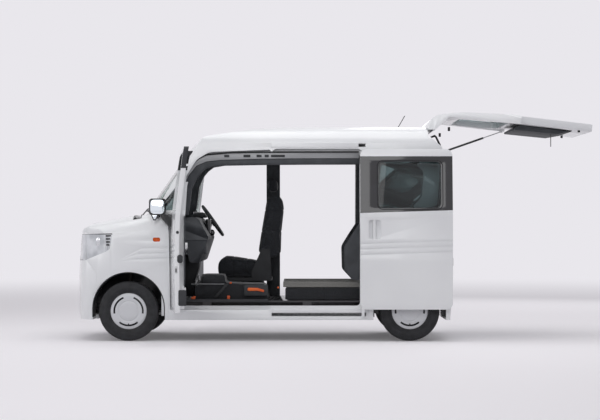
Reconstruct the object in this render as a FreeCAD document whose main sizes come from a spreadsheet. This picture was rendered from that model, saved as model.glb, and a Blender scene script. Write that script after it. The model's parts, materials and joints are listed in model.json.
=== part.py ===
import FreeCAD, Part
import math
import os
from types import SimpleNamespace

# High-roof microvan, millimetres. Stations run rearward from the nose, y is positive to
# the vehicle's right and z is up from the ground. ORIGIN moves it all to the row's origin.

V = FreeCAD.Vector

# Driving dimensions: alias, value, what it is
DIMENSIONS = (
    ("body_length", 3395, "nose to tail with the tailgate shut"),
    ("body_width", 1475, "over the side panels"),
    ("roof_height", 1945, "ground to the crown of the roof"),
    ("skirt_height", 190, "ground to the bumpers and sills"),
    ("belt_height", 1150, "ground to the foot of the windows"),
    ("cowl_station", 600, "foot of the windscreen behind the nose"),
    ("cowl_height", 1152, "foot of the windscreen above the ground"),
    ("screen_angle", 54.5, "slope of the windscreen in degrees"),
    ("bonnet_angle", 10.8, "slope of the bonnet in degrees"),
    ("rail_inset", 152, "roof panel's side joint inside the body side"),
    ("side_wall", 95, "thickness of the body side"),
    ("roof_wall", 45, "thickness of the roof"),
    ("wing_wall", 35, "thickness of the wings"),
    ("bonnet_wall", 28, "thickness of the bonnet"),
    ("bumper_wall", 42, "thickness of the bumpers"),
    ("lamp_depth", 60, "depth of the lamps"),
    ("gate_wall", 65, "thickness of the tailgate"),
    ("glass", 5, "thickness of every pane"),
    ("seat_gap", 0.3, "clearance where pieces seat on each other"),
    ("shut_gap", 6, "gap round every lid and door"),
    ("door_skin", 42, "outer slab of a side door"),
    ("door_depth", 84, "whole thickness of a side door"),
    ("door_lap", 35, "step between outer and inner slab of a door"),
    ("slide_gap", 9, "gap between an open sliding door and the body"),
    ("slide_travel", 795, "rearward travel of a sliding door"),
    ("hinge_station", 892, "front door hinge pin behind the nose"),
    ("hinge_depth", 26, "front door hinge pin inside the body side"),
    ("door_angle", 84, "opening of the front doors in degrees"),
    ("pillar_station", 1768, "front edge of the shut sliding door"),
    ("pillar_half", 56, "half width of the right-hand centre pillar"),
    ("gate_hinge_station", 3190, "tailgate hinge behind the nose"),
    ("gate_angle", 83.4, "opening of the tailgate in degrees"),
    ("gate_half", 600, "half width of the tailgate between the lamps"),
    ("floor_height", 360, "top of the front floor"),
    ("deck_height", 500, "top of the rear floor panel"),
    ("deck_station", 2640, "step up to the rear floor"),
    ("floor_sheet", 15, "thickness of the floor panels"),
    ("front_overhang", 490, "nose to the front axle"),
    ("wheelbase", 2520, "front axle to rear axle"),
    ("track_width", 1310, "between the middles of the tyres"),
    ("tyre_radius", 268.5, "rolling radius"),
    ("tyre_width", 145, "section width of a tyre"),
    ("rim_radius", 152.5, "bead seat radius of a wheel"),
    ("rim_width", 104, "between the flanges of a wheel"),
    ("cover_radius", 164, "radius of a wheel cover"),
    ("hub_radius", 28, "radius of a hub's spigot"),
    ("arch_radius", 327, "radius of the wheel arches"),
    ("arch_height", 619, "ground to the crown of the wheel arches"),
    ("kingpin_foot", 600, "kingpin's foot from the middle"),
    ("kingpin_head", 490, "kingpin's head from the middle"),
    ("wheel_rim", 178, "steering wheel radius"),
    ("seat_width", 490, "driver's seat width"),
    ("seat_centre", 355, "driver's seat from the middle"),
    ("seat_front", 1241, "driver's cushion front behind the nose"),
    ("cushion_length", 470, "driver's cushion fore and aft"),
    ("cushion_height", 180, "driver's cushion thickness"),
    ("cushion_base", 545, "underside of driver's cushion"),
    ("engine_length", 400, "engine block fore and aft"),
    ("engine_width", 640, "engine block across"),
    ("engine_height", 430, "engine block height"),
    ("tank_length", 620, "fuel tank fore and aft"),
    ("tank_width", 600, "fuel tank across"),
    ("tank_height", 125, "fuel tank height"),
)

os.makedirs("parts", exist_ok=True)
doc = FreeCAD.newDocument("microvan")
sheet = doc.addObject("Spreadsheet::Sheet", "Sizes")
for row, (alias, value, meaning) in enumerate(DIMENSIONS, start=1):
    sheet.set(f"A{row}", meaning)
    sheet.set(f"B{row}", str(value))
    sheet.setAlias(f"B{row}", alias)
doc.recompute()
D = SimpleNamespace(**{alias: float(sheet.get(alias)) for alias, value, meaning in DIMENSIONS})

# Places worked out from the driving dimensions
HALF = D.body_width / 2
TAIL = D.body_length
FRONT_AXLE = D.front_overhang
REAR_AXLE = D.front_overhang + D.wheelbase
WHEEL_Y = D.track_width / 2
RAIL_Y = HALF - D.rail_inset
SLIDE_OUT = D.door_depth + D.slide_gap
SCREEN_RUN = 1 / math.tan(math.radians(D.screen_angle))
ROOF_DROP_AT_TAIL = 26
BROW_DROP = 119
GATE_HINGE_DEPTH = 34
GATE_HINGE_Z = D.roof_height - GATE_HINGE_DEPTH
GATE_LENGTH = GATE_HINGE_Z - 450
NOSE_TO_ORIGIN = (D.gate_hinge_station + GATE_LENGTH) / 2
ORIGIN = V(-NOSE_TO_ORIGIN, 0, 0)

pieces = {}


# Outlines: corners are (u, v, radius), rounded by an arc where the radius is not zero
def outline_edges(corners, put):
    joints = []
    count = len(corners)
    for i, (u, v, radius) in enumerate(corners):
        corner = V(u, v, 0)
        before = V(corners[i - 1][0], corners[i - 1][1], 0) - corner
        after = V(corners[(i + 1) % count][0], corners[(i + 1) % count][1], 0) - corner
        before.normalize()
        after.normalize()
        if radius == 0:
            joints.append((corner, None, corner))
            continue
        half = before.getAngle(after) / 2
        reach = radius / math.tan(half)
        middle = before + after
        middle.normalize()
        crown = corner + middle * (radius / math.sin(half) - radius)
        joints.append((corner + before * reach, crown, corner + after * reach))
    edges = []
    for i, (start, crown, end) in enumerate(joints):
        if crown is not None:
            edges.append(Part.Arc(put(start), put(crown), put(end)))
        following = joints[(i + 1) % count][0]
        if (following - end).Length > 1e-6:
            edges.append(Part.LineSegment(put(end), put(following)))
    return edges


PLANES = {
    "side": (lambda at: lambda p: V(p.x, at, p.y), V(0, 1, 0)),
    "section": (lambda at: lambda p: V(at, p.x, p.y), V(1, 0, 0)),
    "plan": (lambda at: lambda p: V(p.x, p.y, at), V(0, 0, 1)),
}


def prism(plane, corners, start, end, grow=0, sweep=None):
    """A solid from an outline in a plane, from start to end along that plane's normal."""
    put, normal = PLANES[plane]
    edges = outline_edges(corners, put(start))
    face = Part.Face(Part.Wire([edge.toShape() for edge in edges]))
    if grow:
        face = face.makeOffset2D(grow)
    return face.extrude(sweep if sweep else normal * (end - start))


def block(low, high):
    size = V(*high) - V(*low)
    return Part.makeBox(size.x, size.y, size.z, V(*low))


def rod(start, end, radius):
    axis = V(*end) - V(*start)
    return Part.makeCylinder(radius, axis.Length, V(*start), axis)


def mirrored(shape):
    return shape.mirror(V(0, 0, 0), V(0, 1, 0))


def both(shape):
    return Part.Compound([shape, mirrored(shape)])


def main_solid(shape):
    return max(shape.Solids, key=lambda solid: solid.Volume)


def fused(*shapes):
    whole = shapes[0]
    for shape in shapes[1:]:
        whole = whole.fuse(shape)
    return whole.removeSplitter()


def symmetric(half):
    """Corners on the left (negative second or first value) and their mirror images."""
    return list(half) + [(-u, v, r) for u, v, r in reversed(half)]


def plan_symmetric(half):
    return list(half) + [(u, -v, r) for u, v, r in reversed(half)]


def add_feature(label, shape):
    """A sub-part whose shape is set directly, moved from the nose to the row's origin."""
    feature = doc.addObject("Part::Feature", label)
    feature.Label = label
    own = shape.Placement
    feature.Shape = shape
    feature.Placement = FreeCAD.Placement(ORIGIN, FreeCAD.Rotation()).multiply(own)
    pieces[label] = feature
    return feature


# Envelope: the closed body's outer form, from outlines in three planes and two sloped ones
def side_profile():
    h = D.roof_height
    c = D.cowl_station
    z = D.cowl_height
    brow = h - z - BROW_DROP
    brow_station = c + brow * SCREEN_RUN
    return (
        (35, D.skirt_height, 0),
        (0, 300, 80),
        (0, 560, 400),
        (62, z - 152, 45),
        (c - 370, z - 59, 500),
        (c, z, 0),
        (brow_station, z + brow, 370),
        (brow_station + 619, h - 20, 3900),
        (brow_station + 1169, h + 3, 8000),
        (TAIL - 90, h - ROOF_DROP_AT_TAIL, 130),
        (TAIL - 30, h - 285, 1500),
        (TAIL, D.belt_height, 800),
        (TAIL, 480, 300),
        (TAIL - 25, D.skirt_height, 0),
    )


def cross_section():
    h = D.roof_height
    return symmetric((
        (-(HALF - 8), D.skirt_height - 100, 0),
        (-HALF, 700, 1500),
        (-HALF, 900, 1500),
        (-(HALF - 10), D.belt_height, 600),
        (-(HALF - 72), h - 290, 900),
        (-(HALF - 118), h - 52, 150),
        (-330, h + 2, 1800),
    ))


def plan_outline():
    return plan_symmetric((
        (-6, -280, 1200),
        (60, -600, 250),
        (310, -(HALF + 4), 400),
        (TAIL + 6, -(HALF + 4), 68),
    ))


def bonnet_hull(inset):
    """Below the bonnet's crowned and sloped surface."""
    c = D.cowl_height
    drop = math.tan(math.radians(D.bonnet_angle))
    start = -100
    corners = symmetric((
        (-(HALF + 30), -1500, 0),
        (-(HALF + 22), c - 250, 0),
        (-(HALF - 40), c - 66, 110),
        (-(HALF - 210), c - 9, 600),
    ))
    lowered = (start - D.cowl_station) * drop - inset
    corners = [(u, v + lowered, r) for u, v, r in corners]
    run = TAIL + 300
    return prism("section", corners, start, 0, sweep=V(run, 0, run * drop))


def screen_hull(inset):
    """Behind the windscreen's curved and sloped surface."""
    c = D.cowl_station
    rise = 2100
    foot = -D.cowl_height * SCREEN_RUN + inset / math.sin(math.radians(D.screen_angle))
    corners = plan_symmetric((
        (c + foot, -200, 1800),
        (c + foot + 68, -(HALF - 97), 90),
        (c + foot + 190, -(HALF + 4), 0),
        (TAIL + 1600, -(HALF + 4), 0),
    ))
    return prism("plan", corners, 0, 0, sweep=V(rise * SCREEN_RUN, 0, rise))


envelopes = {}


def envelope(inset=0.0):
    """The body's outer form, moved inward by inset."""
    if inset not in envelopes:
        form = prism("side", side_profile(), -HALF - 50, HALF + 50, -inset)
        form = form.common(prism("section", cross_section(), -50, TAIL + 50, -inset))
        form = form.common(prism("plan", plan_outline(), 0, 2500, -inset))
        form = form.common(bonnet_hull(inset).fuse(screen_hull(inset)))
        envelopes[inset] = main_solid(form)
    return envelopes[inset]


def shell(wall):
    return envelope().cut(envelope(wall))


def layer(region, outer, inner):
    """What lies in a region between two depths under the body's surface."""
    return region.common(envelope(outer)).cut(envelope(inner))


# Door and window outlines: station from hinge or pillar, height, corner radius
FRONT_DOOR = (
    (-14, 287, 25), (-38, 1050, 0), (-38, 1122, 12), (73, 1130, 12), (93, 1440, 250),
    (208, 1622, 130), (320, 1690, 140), (871, 1712, 22), (871, 287, 40),
)
FRONT_PANE = (
    (120, 1168, 18), (138, 1440, 220), (232, 1596, 90), (335, 1645, 90), (828, 1664, 30),
    (832, 1168, 30),
)
SLIDING_DOOR = ((0, 287, 60), (0, 1720, 60), (825, 1720, 60), (825, 287, 60))
SLIDING_PANE = ((161, 1192, 48), (161, 1606, 48), (721, 1606, 48), (721, 1192, 48))
QUARTER_PANE = ((-150, 1172, 14), (58, 1172, 12), (58, 1425, 14))
REAR_PANE = (
    (-745, 1180, 40), (-745, 1610, 45), (-355, 1610, 60), (-270, 1540, 90), (-262, 1290, 90),
    (-345, 1180, 50),
)
PILLAR_FACE = D.pillar_half + D.door_lap / 4


def moved(corners, station):
    return [(station + u, v, r) for u, v, r in corners]


def left_prism(corners, grow=0.0):
    return prism("side", corners, -HALF - 200, -300, grow)


front_door = moved(FRONT_DOOR, D.hinge_station)
front_pane = moved(FRONT_PANE, D.hinge_station)
sliding_door = moved(SLIDING_DOOR, D.pillar_station)
sliding_pane = moved(SLIDING_PANE, D.pillar_station)
quarter_pane = moved(QUARTER_PANE, D.hinge_station)
rear_pane = moved(REAR_PANE, TAIL)

# Swing clearance of the front door's leading edge, a cone because that edge leans
HINGE_Y = -(HALF - D.hinge_depth)
HINGE_PIN = V(D.hinge_station, HINGE_Y, 0)
BELT_TAPER = 10
SKIN_BACK = D.door_skin - D.hinge_depth + BELT_TAPER
LEAN_FOOT = -FRONT_DOOR[0][0]
LEAN_HEAD = -FRONT_DOOR[1][0]
SWING_FOOT = math.hypot(LEAN_FOOT, SKIN_BACK) + D.shut_gap
SWING_HEAD = math.hypot(LEAN_HEAD, SKIN_BACK) + D.shut_gap
DOOR_FOOT = FRONT_DOOR[0][1] - D.shut_gap
DOOR_SHOULDER = FRONT_DOOR[3][1] + D.shut_gap
swing_cone = Part.makeCone(
    SWING_FOOT, SWING_HEAD, DOOR_SHOULDER - DOOR_FOOT, V(D.hinge_station, HINGE_Y, DOOR_FOOT)
)
wing_edge = (
    (D.hinge_station - SWING_FOOT, D.skirt_height - 20, 0),
    (D.hinge_station - SWING_FOOT, DOOR_FOOT, 0),
    (D.hinge_station - SWING_HEAD, DOOR_SHOULDER - 80, 0),
    (D.hinge_station - SWING_HEAD, DOOR_SHOULDER - 5, 0),
)


def arch_cut(axle):
    corners = (
        (axle - D.arch_radius, -50, 0),
        (axle - D.arch_radius, D.arch_height, D.arch_radius - 1),
        (axle + D.arch_radius, D.arch_height, D.arch_radius - 1),
        (axle + D.arch_radius, -50, 0),
    )
    return prism("side", corners, -HALF - 200, -D.kingpin_head)


# Shallow grooves along the side: start station and height, rising rearward
GROOVES = ((609, 832), (568, 782), (543, 733))
GROOVE_RISE = 0.034
GROOVE_HALF = 8
GROOVE_DEPTH = 5


def groove_cuts():
    cuts = []
    for start, height in GROOVES:
        end = TAIL - 40
        top = height + (end - start) * GROOVE_RISE
        corners = (
            (start, height - GROOVE_HALF, GROOVE_HALF - 1),
            (end, top - GROOVE_HALF, 0),
            (end, top + GROOVE_HALF, 0),
            (start, height + GROOVE_HALF, GROOVE_HALF - 1),
        )
        cuts.append(left_prism(corners).cut(envelope(GROOVE_DEPTH)))
    return Part.Compound(cuts)


grooves = groove_cuts()

# Regions of the nose in side view
LAMP = (
    (-60, 722, 0), (100, 728, 8), (284, 800, 14), (322, 826, 14), (347, 966, 8),
    (123, 958, 60), (-60, 958, 0),
)
LAMP_INNER_Y = 455
GRILLE_LOW = 730
GRILLE_HIGH = 958
BUMPER = (
    (-60, 100, 0), (-60, GRILLE_LOW - 8, 0), (104, GRILLE_LOW - 8, 0), (196, 600, 0),
    (196, 100, 0),
)
BONNET_EDGE = GRILLE_HIGH + 12
BONNET_BACK = D.cowl_station - 78


def bonnet_region(gap):
    corners = plan_symmetric((
        (-60 - gap, -(HALF - 205) - 2 * gap, 0),
        (115, -(HALF - 125) - 1.5 * gap, 60),
        (BONNET_BACK + gap, -(HALF - 92) - gap, 0),
    ))
    return prism("plan", corners, BONNET_EDGE - gap, D.roof_height)


GATE_LEAD = 5
GATE_CROWN = 14


def gate_region(gap):
    """What the tailgate takes from the body, with a gap round it."""
    front = D.gate_hinge_station - GATE_LEAD
    z = D.roof_height
    upper = (
        (front, z + 80, 0),
        (front, z - 92, 0),
        (TAIL - 83, z - 200, 12),
        (TAIL - 78, z - 840, 0),
        (TAIL + 60, z - 840, 0),
        (TAIL + 60, z + 80, 0),
    )
    lower = (
        (TAIL - D.gate_wall, 450, 0),
        (TAIL - D.gate_wall, z - 300, 0),
        (TAIL + 60, z - 300, 0),
        (TAIL + 60, 450, 0),
    )
    wide = prism("side", upper, -HALF - 100, HALF + 100, gap)
    narrow = prism("side", lower, -D.gate_half - gap, D.gate_half + gap, gap)
    return wide.fuse(narrow)


# Room in the roof's rear edge for the tailgate's edge, which dips as it opens
GATE_PIN = V(D.gate_hinge_station, 0, GATE_HINGE_Z)
gate_swing = rod(GATE_PIN - V(0, HALF, 0), GATE_PIN + V(0, HALF, 0),
                 math.hypot(GATE_LEAD, GATE_CROWN) + D.shut_gap)

# Tailgate hinges: a knuckle on the roof beside one on the tailgate, on one pin line
GATE_HINGE_Y = 400
GATE_KNUCKLE = 28
GATE_BARREL = 7
GATE_ARM = 32


def gate_knuckle(on_gate):
    s = D.gate_hinge_station
    z = GATE_HINGE_Z
    near = GATE_HINGE_Y - GATE_KNUCKLE if on_gate else GATE_HINGE_Y
    far = GATE_HINGE_Y - D.seat_gap if on_gate else GATE_HINGE_Y + GATE_KNUCKLE
    barrel = rod((s, near, z), (s, far, z), GATE_BARREL)
    front = s if on_gate else s - GATE_ARM
    arm = block((front, near, z - GATE_BARREL), (front + GATE_ARM, far, z + GATE_BARREL))
    return barrel.fuse(arm)


def gate_notch():
    margin = GATE_BARREL + D.shut_gap
    low = V(-margin, GATE_HINGE_Y - GATE_KNUCKLE - D.shut_gap, -margin)
    high = V(margin, GATE_HINGE_Y + GATE_KNUCKLE + D.shut_gap, 100)
    return block(GATE_PIN + low, GATE_PIN + high)


# Windscreen: its outline across the car, height and corner radius
SCREEN_FOOT = D.cowl_height + 8
SCREEN_HEAD = D.cowl_height + 585
SCREEN_PANE = ((-(HALF - 52), SCREEN_FOOT, 30), (-(HALF - 128), SCREEN_HEAD, 70))


def screen_region(grow):
    front = D.cowl_station - 60
    back = D.cowl_station + 620
    return prism("section", symmetric(SCREEN_PANE), front, back, grow)


def screen_depth(depth):
    """The body's form moved back until its windscreen lies this deep."""
    run = depth / math.sin(math.radians(D.screen_angle))
    return envelope().translated(V(run, 0, 0))


def build_screen():
    pane = envelope().cut(screen_depth(D.glass + 1)).common(screen_region(0))
    front = D.cowl_station - 80
    back = D.cowl_station + 150
    rise = 800
    slope = (
        (front, D.cowl_height, 0),
        (back, D.cowl_height, 0),
        (back + rise * SCREEN_RUN, D.cowl_height + rise, 0),
        (front, D.cowl_height + rise, 0),
    )
    return main_solid(pane.common(prism("side", slope, -HALF, HALF)))


screen_pane = build_screen()
screen_recess = envelope().cut(screen_depth(D.glass + 1 + D.seat_gap)).common(
    screen_region(D.seat_gap)
)


# Gas strut on the right: the shut places of its two ends and its channel in the pillar
STRUT_Y = 596
STRUT_FOOT = V(TAIL - 93, STRUT_Y, D.roof_height - 237)
STRUT_EYE = V(TAIL - 90, STRUT_Y, D.roof_height - 797)
TUBE_LENGTH = 520
TUBE_RADIUS = 10
ROD_RADIUS = 4.5
FOOT_HALF = 11
STUD_RADIUS = 4
CHANNEL_Y = STRUT_Y + 22
strut_channel = block((TAIL - 140, -CHANNEL_Y, D.roof_height - 860), (TAIL + 50, -400, D.roof_height - 200))
strut_stud = rod(STRUT_FOOT + V(0, FOOT_HALF + D.seat_gap, 0), STRUT_FOOT + V(0, CHANNEL_Y - STRUT_Y + 4, 0),
                 STUD_RADIUS)


strut_room = rod(STRUT_FOOT + V(0, 0, 20), STRUT_EYE - V(0, 0, 20), TUBE_RADIUS + D.shut_gap + 1)

# Room behind a steered front tyre: its outer shoulder sweeps round the kingpin
STEER_REACH = math.hypot(D.tyre_radius, WHEEL_Y + D.tyre_width / 2 - D.kingpin_foot)
steer_room = rod((FRONT_AXLE, -D.kingpin_foot, 0), (FRONT_AXLE, -D.kingpin_foot, DOOR_SHOULDER - 5),
                 STEER_REACH + 2 * D.shut_gap)


# Body sides: outer layer has the doors' outlines, inner layer the smaller doorways
def side_panel(pillar):
    outboard = block((-50, -HALF - 20, 0), (TAIL + 50, -RAIL_Y, D.roof_height + 50))
    panel = shell(D.side_wall).common(outboard)
    nose = left_prism(((-60, 0, 0), (770, 0, 0), (770, DOOR_SHOULDER - 5, 0), (-60, DOOR_SHOULDER - 5, 0)))
    panel = panel.cut(nose)
    wing_zone = left_prism(((-60, 0, 0),) + wing_edge + ((-60, DOOR_SHOULDER - 5, 0),))
    panel = panel.cut(wing_zone.cut(envelope(D.wing_wall + D.seat_gap)))
    rebate = D.door_skin + D.shut_gap
    doorway = D.shut_gap - D.door_lap
    for corners in (front_door, sliding_door):
        panel = panel.cut(left_prism(corners, D.shut_gap).cut(envelope(rebate)))
    openings = left_prism(front_door, doorway).fuse(left_prism(sliding_door, doorway))
    bridge_low = sliding_door[0][1] - doorway
    bridge_high = front_door[7][1] + doorway
    width = PILLAR_FACE if pillar else D.pillar_half * 3
    bridge = block(
        (D.pillar_station - width, -HALF - 200, bridge_low),
        (D.pillar_station + width, -300, bridge_high),
    )
    openings = openings.cut(bridge) if pillar else openings.fuse(bridge)
    panel = panel.cut(openings)
    panel = panel.cut(swing_cone)
    panel = panel.cut(steer_room)
    panel = panel.cut(left_prism(quarter_pane)).cut(left_prism(rear_pane))
    panel = panel.cut(arch_cut(REAR_AXLE))
    panel = panel.cut(gate_region(D.shut_gap)).cut(gate_swing)
    panel = panel.cut(bonnet_region(D.shut_gap))
    panel = panel.cut(screen_recess)
    panel = panel.cut(lower_rear_bumper)
    panel = panel.cut(tail_lamp_region)
    panel = panel.cut(lower_rail_channel)
    panel = panel.cut(centre_rail_channel)
    panel = panel.cut(upper_rail_channel)
    if pillar:
        panel = panel.cut(strut_channel).fuse(mirrored(strut_stud))
    knuckles = [hinge_knuckle(height, False) for height in HINGE_HEIGHTS]
    return main_solid(fused(main_solid(panel), *knuckles))


# Front door hinges: a knuckle on the body below one on the door, on the same pin line
HINGE_HEIGHTS = (420, 930)
HINGE_RADIUS = 9
HINGE_TALL = 26
HINGE_ARM = 52
HINGE_LEAF = 5


def hinge_knuckle(height, on_door):
    low = height + D.seat_gap if on_door else height - HINGE_TALL
    high = height + HINGE_TALL if on_door else height
    barrel = rod((D.hinge_station, HINGE_Y, low), (D.hinge_station, HINGE_Y, high), HINGE_RADIUS)
    if on_door:
        arm = block((D.hinge_station, HINGE_Y - HINGE_LEAF, low),
                    (D.hinge_station + HINGE_ARM, HINGE_Y + HINGE_LEAF, high))
    else:
        arm = block((D.hinge_station - HINGE_LEAF - 2, HINGE_Y, low),
                    (D.hinge_station - 1, HINGE_Y + HINGE_ARM, high))
    return barrel.fuse(arm)


def hinge_notch(height):
    low = (D.hinge_station - 62, HINGE_Y - 13, height - HINGE_TALL - D.shut_gap)
    high = (D.hinge_station + 24, HINGE_Y + 90, height + HINGE_TALL + D.shut_gap)
    return block(low, high)


BUMPER_TOP = 445
lower_rear_bumper = block(
    (TAIL - 62, -HALF - 20, 0), (TAIL + 50, HALF + 20, BUMPER_TOP)
)
TAIL_LAMP = ((TAIL - 48, 620, 10), (TAIL - 48, 1010, 10), (TAIL + 60, 1010, 0), (TAIL + 60, 620, 0))
tail_lamp_region = prism("side", TAIL_LAMP, -HALF - 20, -(D.gate_half + D.shut_gap + 4))

# Slide rails: channels in the body side and the rails that line them
RAIL_HEIGHT = 34
RAIL_DEPTH = 42
RAIL_SHEET = 4
LOWER_RAIL_Z = 222
CENTRE_RAIL_Z = 1078
UPPER_RAIL_Z = D.roof_height - 205
RAIL_FRONT = D.pillar_station + 4
RAIL_BACK = D.pillar_station + D.slide_travel + 55
CENTRE_FRONT = D.pillar_station + 850
CENTRE_BACK = TAIL - 85


def rail_box(front, back, height, inner, shrink):
    low = (front + shrink, -HALF - 50, height + shrink)
    high = (back - shrink, -inner - shrink, height + RAIL_HEIGHT - shrink)
    return block(low, high)


LOWER_RAIL_Y = HALF - RAIL_DEPTH - 4
CENTRE_RAIL_Y = HALF - RAIL_DEPTH - 6
UPPER_RAIL_Y = HALF - RAIL_DEPTH - 86
RAILS = (
    (RAIL_FRONT, RAIL_BACK, LOWER_RAIL_Z, LOWER_RAIL_Y),
    (CENTRE_FRONT, CENTRE_BACK, CENTRE_RAIL_Z, CENTRE_RAIL_Y),
    (RAIL_FRONT, RAIL_BACK, UPPER_RAIL_Z, UPPER_RAIL_Y),
)
lower_rail_channel, centre_rail_channel, upper_rail_channel = (
    rail_box(front, back, height, inner, -D.seat_gap) for front, back, height, inner in RAILS
)


def slide_rails():
    """A channel section for each rail, open outward."""
    rails = []
    for front, back, height, inner in RAILS:
        trough = rail_box(front, back, height, inner, 0)
        hollow = block(
            (front - 1, -HALF - 60, height + RAIL_SHEET),
            (back - RAIL_SHEET, -inner - RAIL_SHEET, height + RAIL_HEIGHT - RAIL_SHEET),
        )
        rails.append(main_solid(trough.cut(hollow).common(envelope(3))))
    return rails


add_feature("body_side_left", side_panel(False))
add_feature("body_side_right", mirrored(side_panel(True)))
rails_left = slide_rails()
add_feature("slide_rails", Part.Compound(rails_left + [mirrored(rail) for rail in rails_left]))
quarter = layer(left_prism(quarter_pane, -D.seat_gap), 12, 12 + D.glass)
add_feature("windscreen", screen_pane)

# Roof: a thin shell between the side rails, with pressed beads
BEAD_COUNT = 4
BEAD_PITCH = 190
BEAD_HALF = 26
BEAD_DEPTH = 6


def roof_panel():
    front = D.cowl_station + 380
    region = block(
        (front, -RAIL_Y, SCREEN_HEAD - 60), (TAIL, RAIL_Y, D.roof_height + 50)
    )
    roof = shell(D.roof_wall).common(region).cut(gate_region(D.shut_gap)).cut(gate_swing)
    roof = roof.cut(screen_recess)
    bead_front = D.cowl_station + 800
    bead_back = D.gate_hinge_station - 130
    for i in range(BEAD_COUNT):
        y = (i - (BEAD_COUNT - 1) / 2) * BEAD_PITCH
        corners = (
            (bead_front, y - BEAD_HALF, BEAD_HALF - 1),
            (bead_back, y - BEAD_HALF, BEAD_HALF - 1),
            (bead_back, y + BEAD_HALF, BEAD_HALF - 1),
            (bead_front, y + BEAD_HALF, BEAD_HALF - 1),
        )
        bead = prism("plan", corners, SCREEN_HEAD, D.roof_height + 50)
        roof = roof.cut(bead.cut(envelope(BEAD_DEPTH)))
    knuckle_post = gate_knuckle(False)
    return main_solid(fused(roof, knuckle_post, mirrored(knuckle_post)))


add_feature("roof_panel", roof_panel())

# Bonnet hinges: a knuckle under the bonnet beside one on the scuttle, on one pin line
COWL_Y = HALF - 84
BONNET_PIN_S = BONNET_BACK + 8
BONNET_PIN_Z = D.cowl_height - 47
BONNET_HINGE_Y = 445
BONNET_KNUCKLE = 25


def bonnet_knuckle(on_bonnet):
    near = BONNET_HINGE_Y - BONNET_KNUCKLE if on_bonnet else BONNET_HINGE_Y + D.seat_gap
    far = near + BONNET_KNUCKLE
    barrel = rod((BONNET_PIN_S, near, BONNET_PIN_Z), (BONNET_PIN_S, far, BONNET_PIN_Z), 6)
    if on_bonnet:
        arm = block((BONNET_PIN_S - 30, near, BONNET_PIN_Z - 6), (BONNET_PIN_S, far, BONNET_PIN_Z + 10))
    else:
        arm = block((BONNET_PIN_S - 2, near, BONNET_PIN_Z - 30), (BONNET_PIN_S + 6, far, BONNET_PIN_Z))
    return barrel.fuse(arm)


# Wings, bumper, bonnet, lamps and grille share the nose by their outlines
lamp_cut = prism("side", LAMP, -HALF - 20, -LAMP_INNER_Y)
bumper_cut = prism("side", BUMPER, -HALF - 20, HALF + 20)


def front_wing():
    zone = ((-60, 0, 0),) + wing_edge + ((-60, DOOR_SHOULDER - 5, 0),)
    wing = shell(D.wing_wall).common(left_prism(zone))
    wing = wing.common(block((-50, -HALF - 20, 0), (1000, -HALF + 180, D.roof_height)))
    wing = wing.cut(prism("side", LAMP, -HALF - 20, -LAMP_INNER_Y, D.seat_gap))
    wing = wing.cut(prism("side", BUMPER, -HALF - 20, HALF + 20, D.seat_gap))
    wing = wing.cut(bonnet_region(D.shut_gap)).cut(arch_cut(FRONT_AXLE))
    wing = wing.cut(screen_recess).cut(grooves)
    wing = wing.cut(repeater_cut)
    wing = wing.cut(block((BONNET_BACK - 10, -COWL_Y, 1000), (D.cowl_station, 0, D.roof_height)))
    return main_solid(wing)


REPEATER = ((709, 891, 14), (709, 928, 14), (775, 928, 14), (775, 891, 14))
repeater_cut = left_prism(REPEATER).cut(envelope(12))
repeater = layer(left_prism(REPEATER, -D.seat_gap), -0.0, 12 - D.seat_gap)
wing_left = front_wing()
add_feature("front_wings", both(wing_left))
add_feature("side_repeaters", both(main_solid(repeater)))


def front_bumper():
    bumper = shell(D.bumper_wall).common(bumper_cut)
    arches = both(arch_cut(FRONT_AXLE))
    bumper = bumper.cut(arches)
    intake = block((-50, -360, 318), (200, 360, 432))
    tow_eye = rod((-50, 470, 345), (200, 470, 345), 11)
    bumper = bumper.cut(intake).cut(tow_eye)
    for y in (-105, 105):
        bumper = bumper.cut(rod((-50, y, 520), (200, y, 520), 3))
    return main_solid(bumper)


add_feature("front_bumper", front_bumper())
headlamp = main_solid(shell(D.lamp_depth).common(lamp_cut).cut(arch_cut(FRONT_AXLE)))
add_feature("headlamps", both(headlamp))


def grille():
    """Upper grille between the lamps: a frame with bars left between its slots."""
    half = LAMP_INNER_Y - D.seat_gap
    zone = block((-50, -half, GRILLE_LOW - 8 + D.seat_gap), (300, half, GRILLE_HIGH))
    body = shell(D.bumper_wall).common(zone)
    slot = 26
    pitch = 44
    for i in range(4):
        low = GRILLE_LOW + 30 + i * pitch
        for side in (-1, 1):
            inner = 90 * side
            outer = (half - 30) * side
            cut = block((-50, min(inner, outer), low), (300, max(inner, outer), low + slot))
            body = body.cut(cut)
    lower = block((30, -359.5, 318.5), (44, 359.5, 431.5))
    for i in range(3):
        low = 334 + i * 30
        lower = lower.cut(block((0, -340, low), (80, 340, low + 18)))
    return Part.Compound([main_solid(body), lower])


add_feature("grille", grille())
bonnet = main_solid(shell(D.bonnet_wall).common(bonnet_region(0)))
knuckle_arm = bonnet_knuckle(True).common(envelope(D.bonnet_wall / 2))
add_feature("bonnet", main_solid(fused(bonnet, knuckle_arm, mirrored(knuckle_arm))))


# What fits between the body sides
cabin_room = prism("section", cross_section(), -50, TAIL + 50, -(D.side_wall + D.seat_gap))

# Bulkhead: firewall, scuttle below the windscreen, inner wheelhouses and radiator panel
SCREEN_BACK = D.glass + 1 + 2 * D.seat_gap
FIREWALL = 762
APRON_TOP = 960
RAIL_TOP = 390
RECESS_Y = 500
RECESS_TOP = 430
RECESS_SHEET = 3


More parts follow.
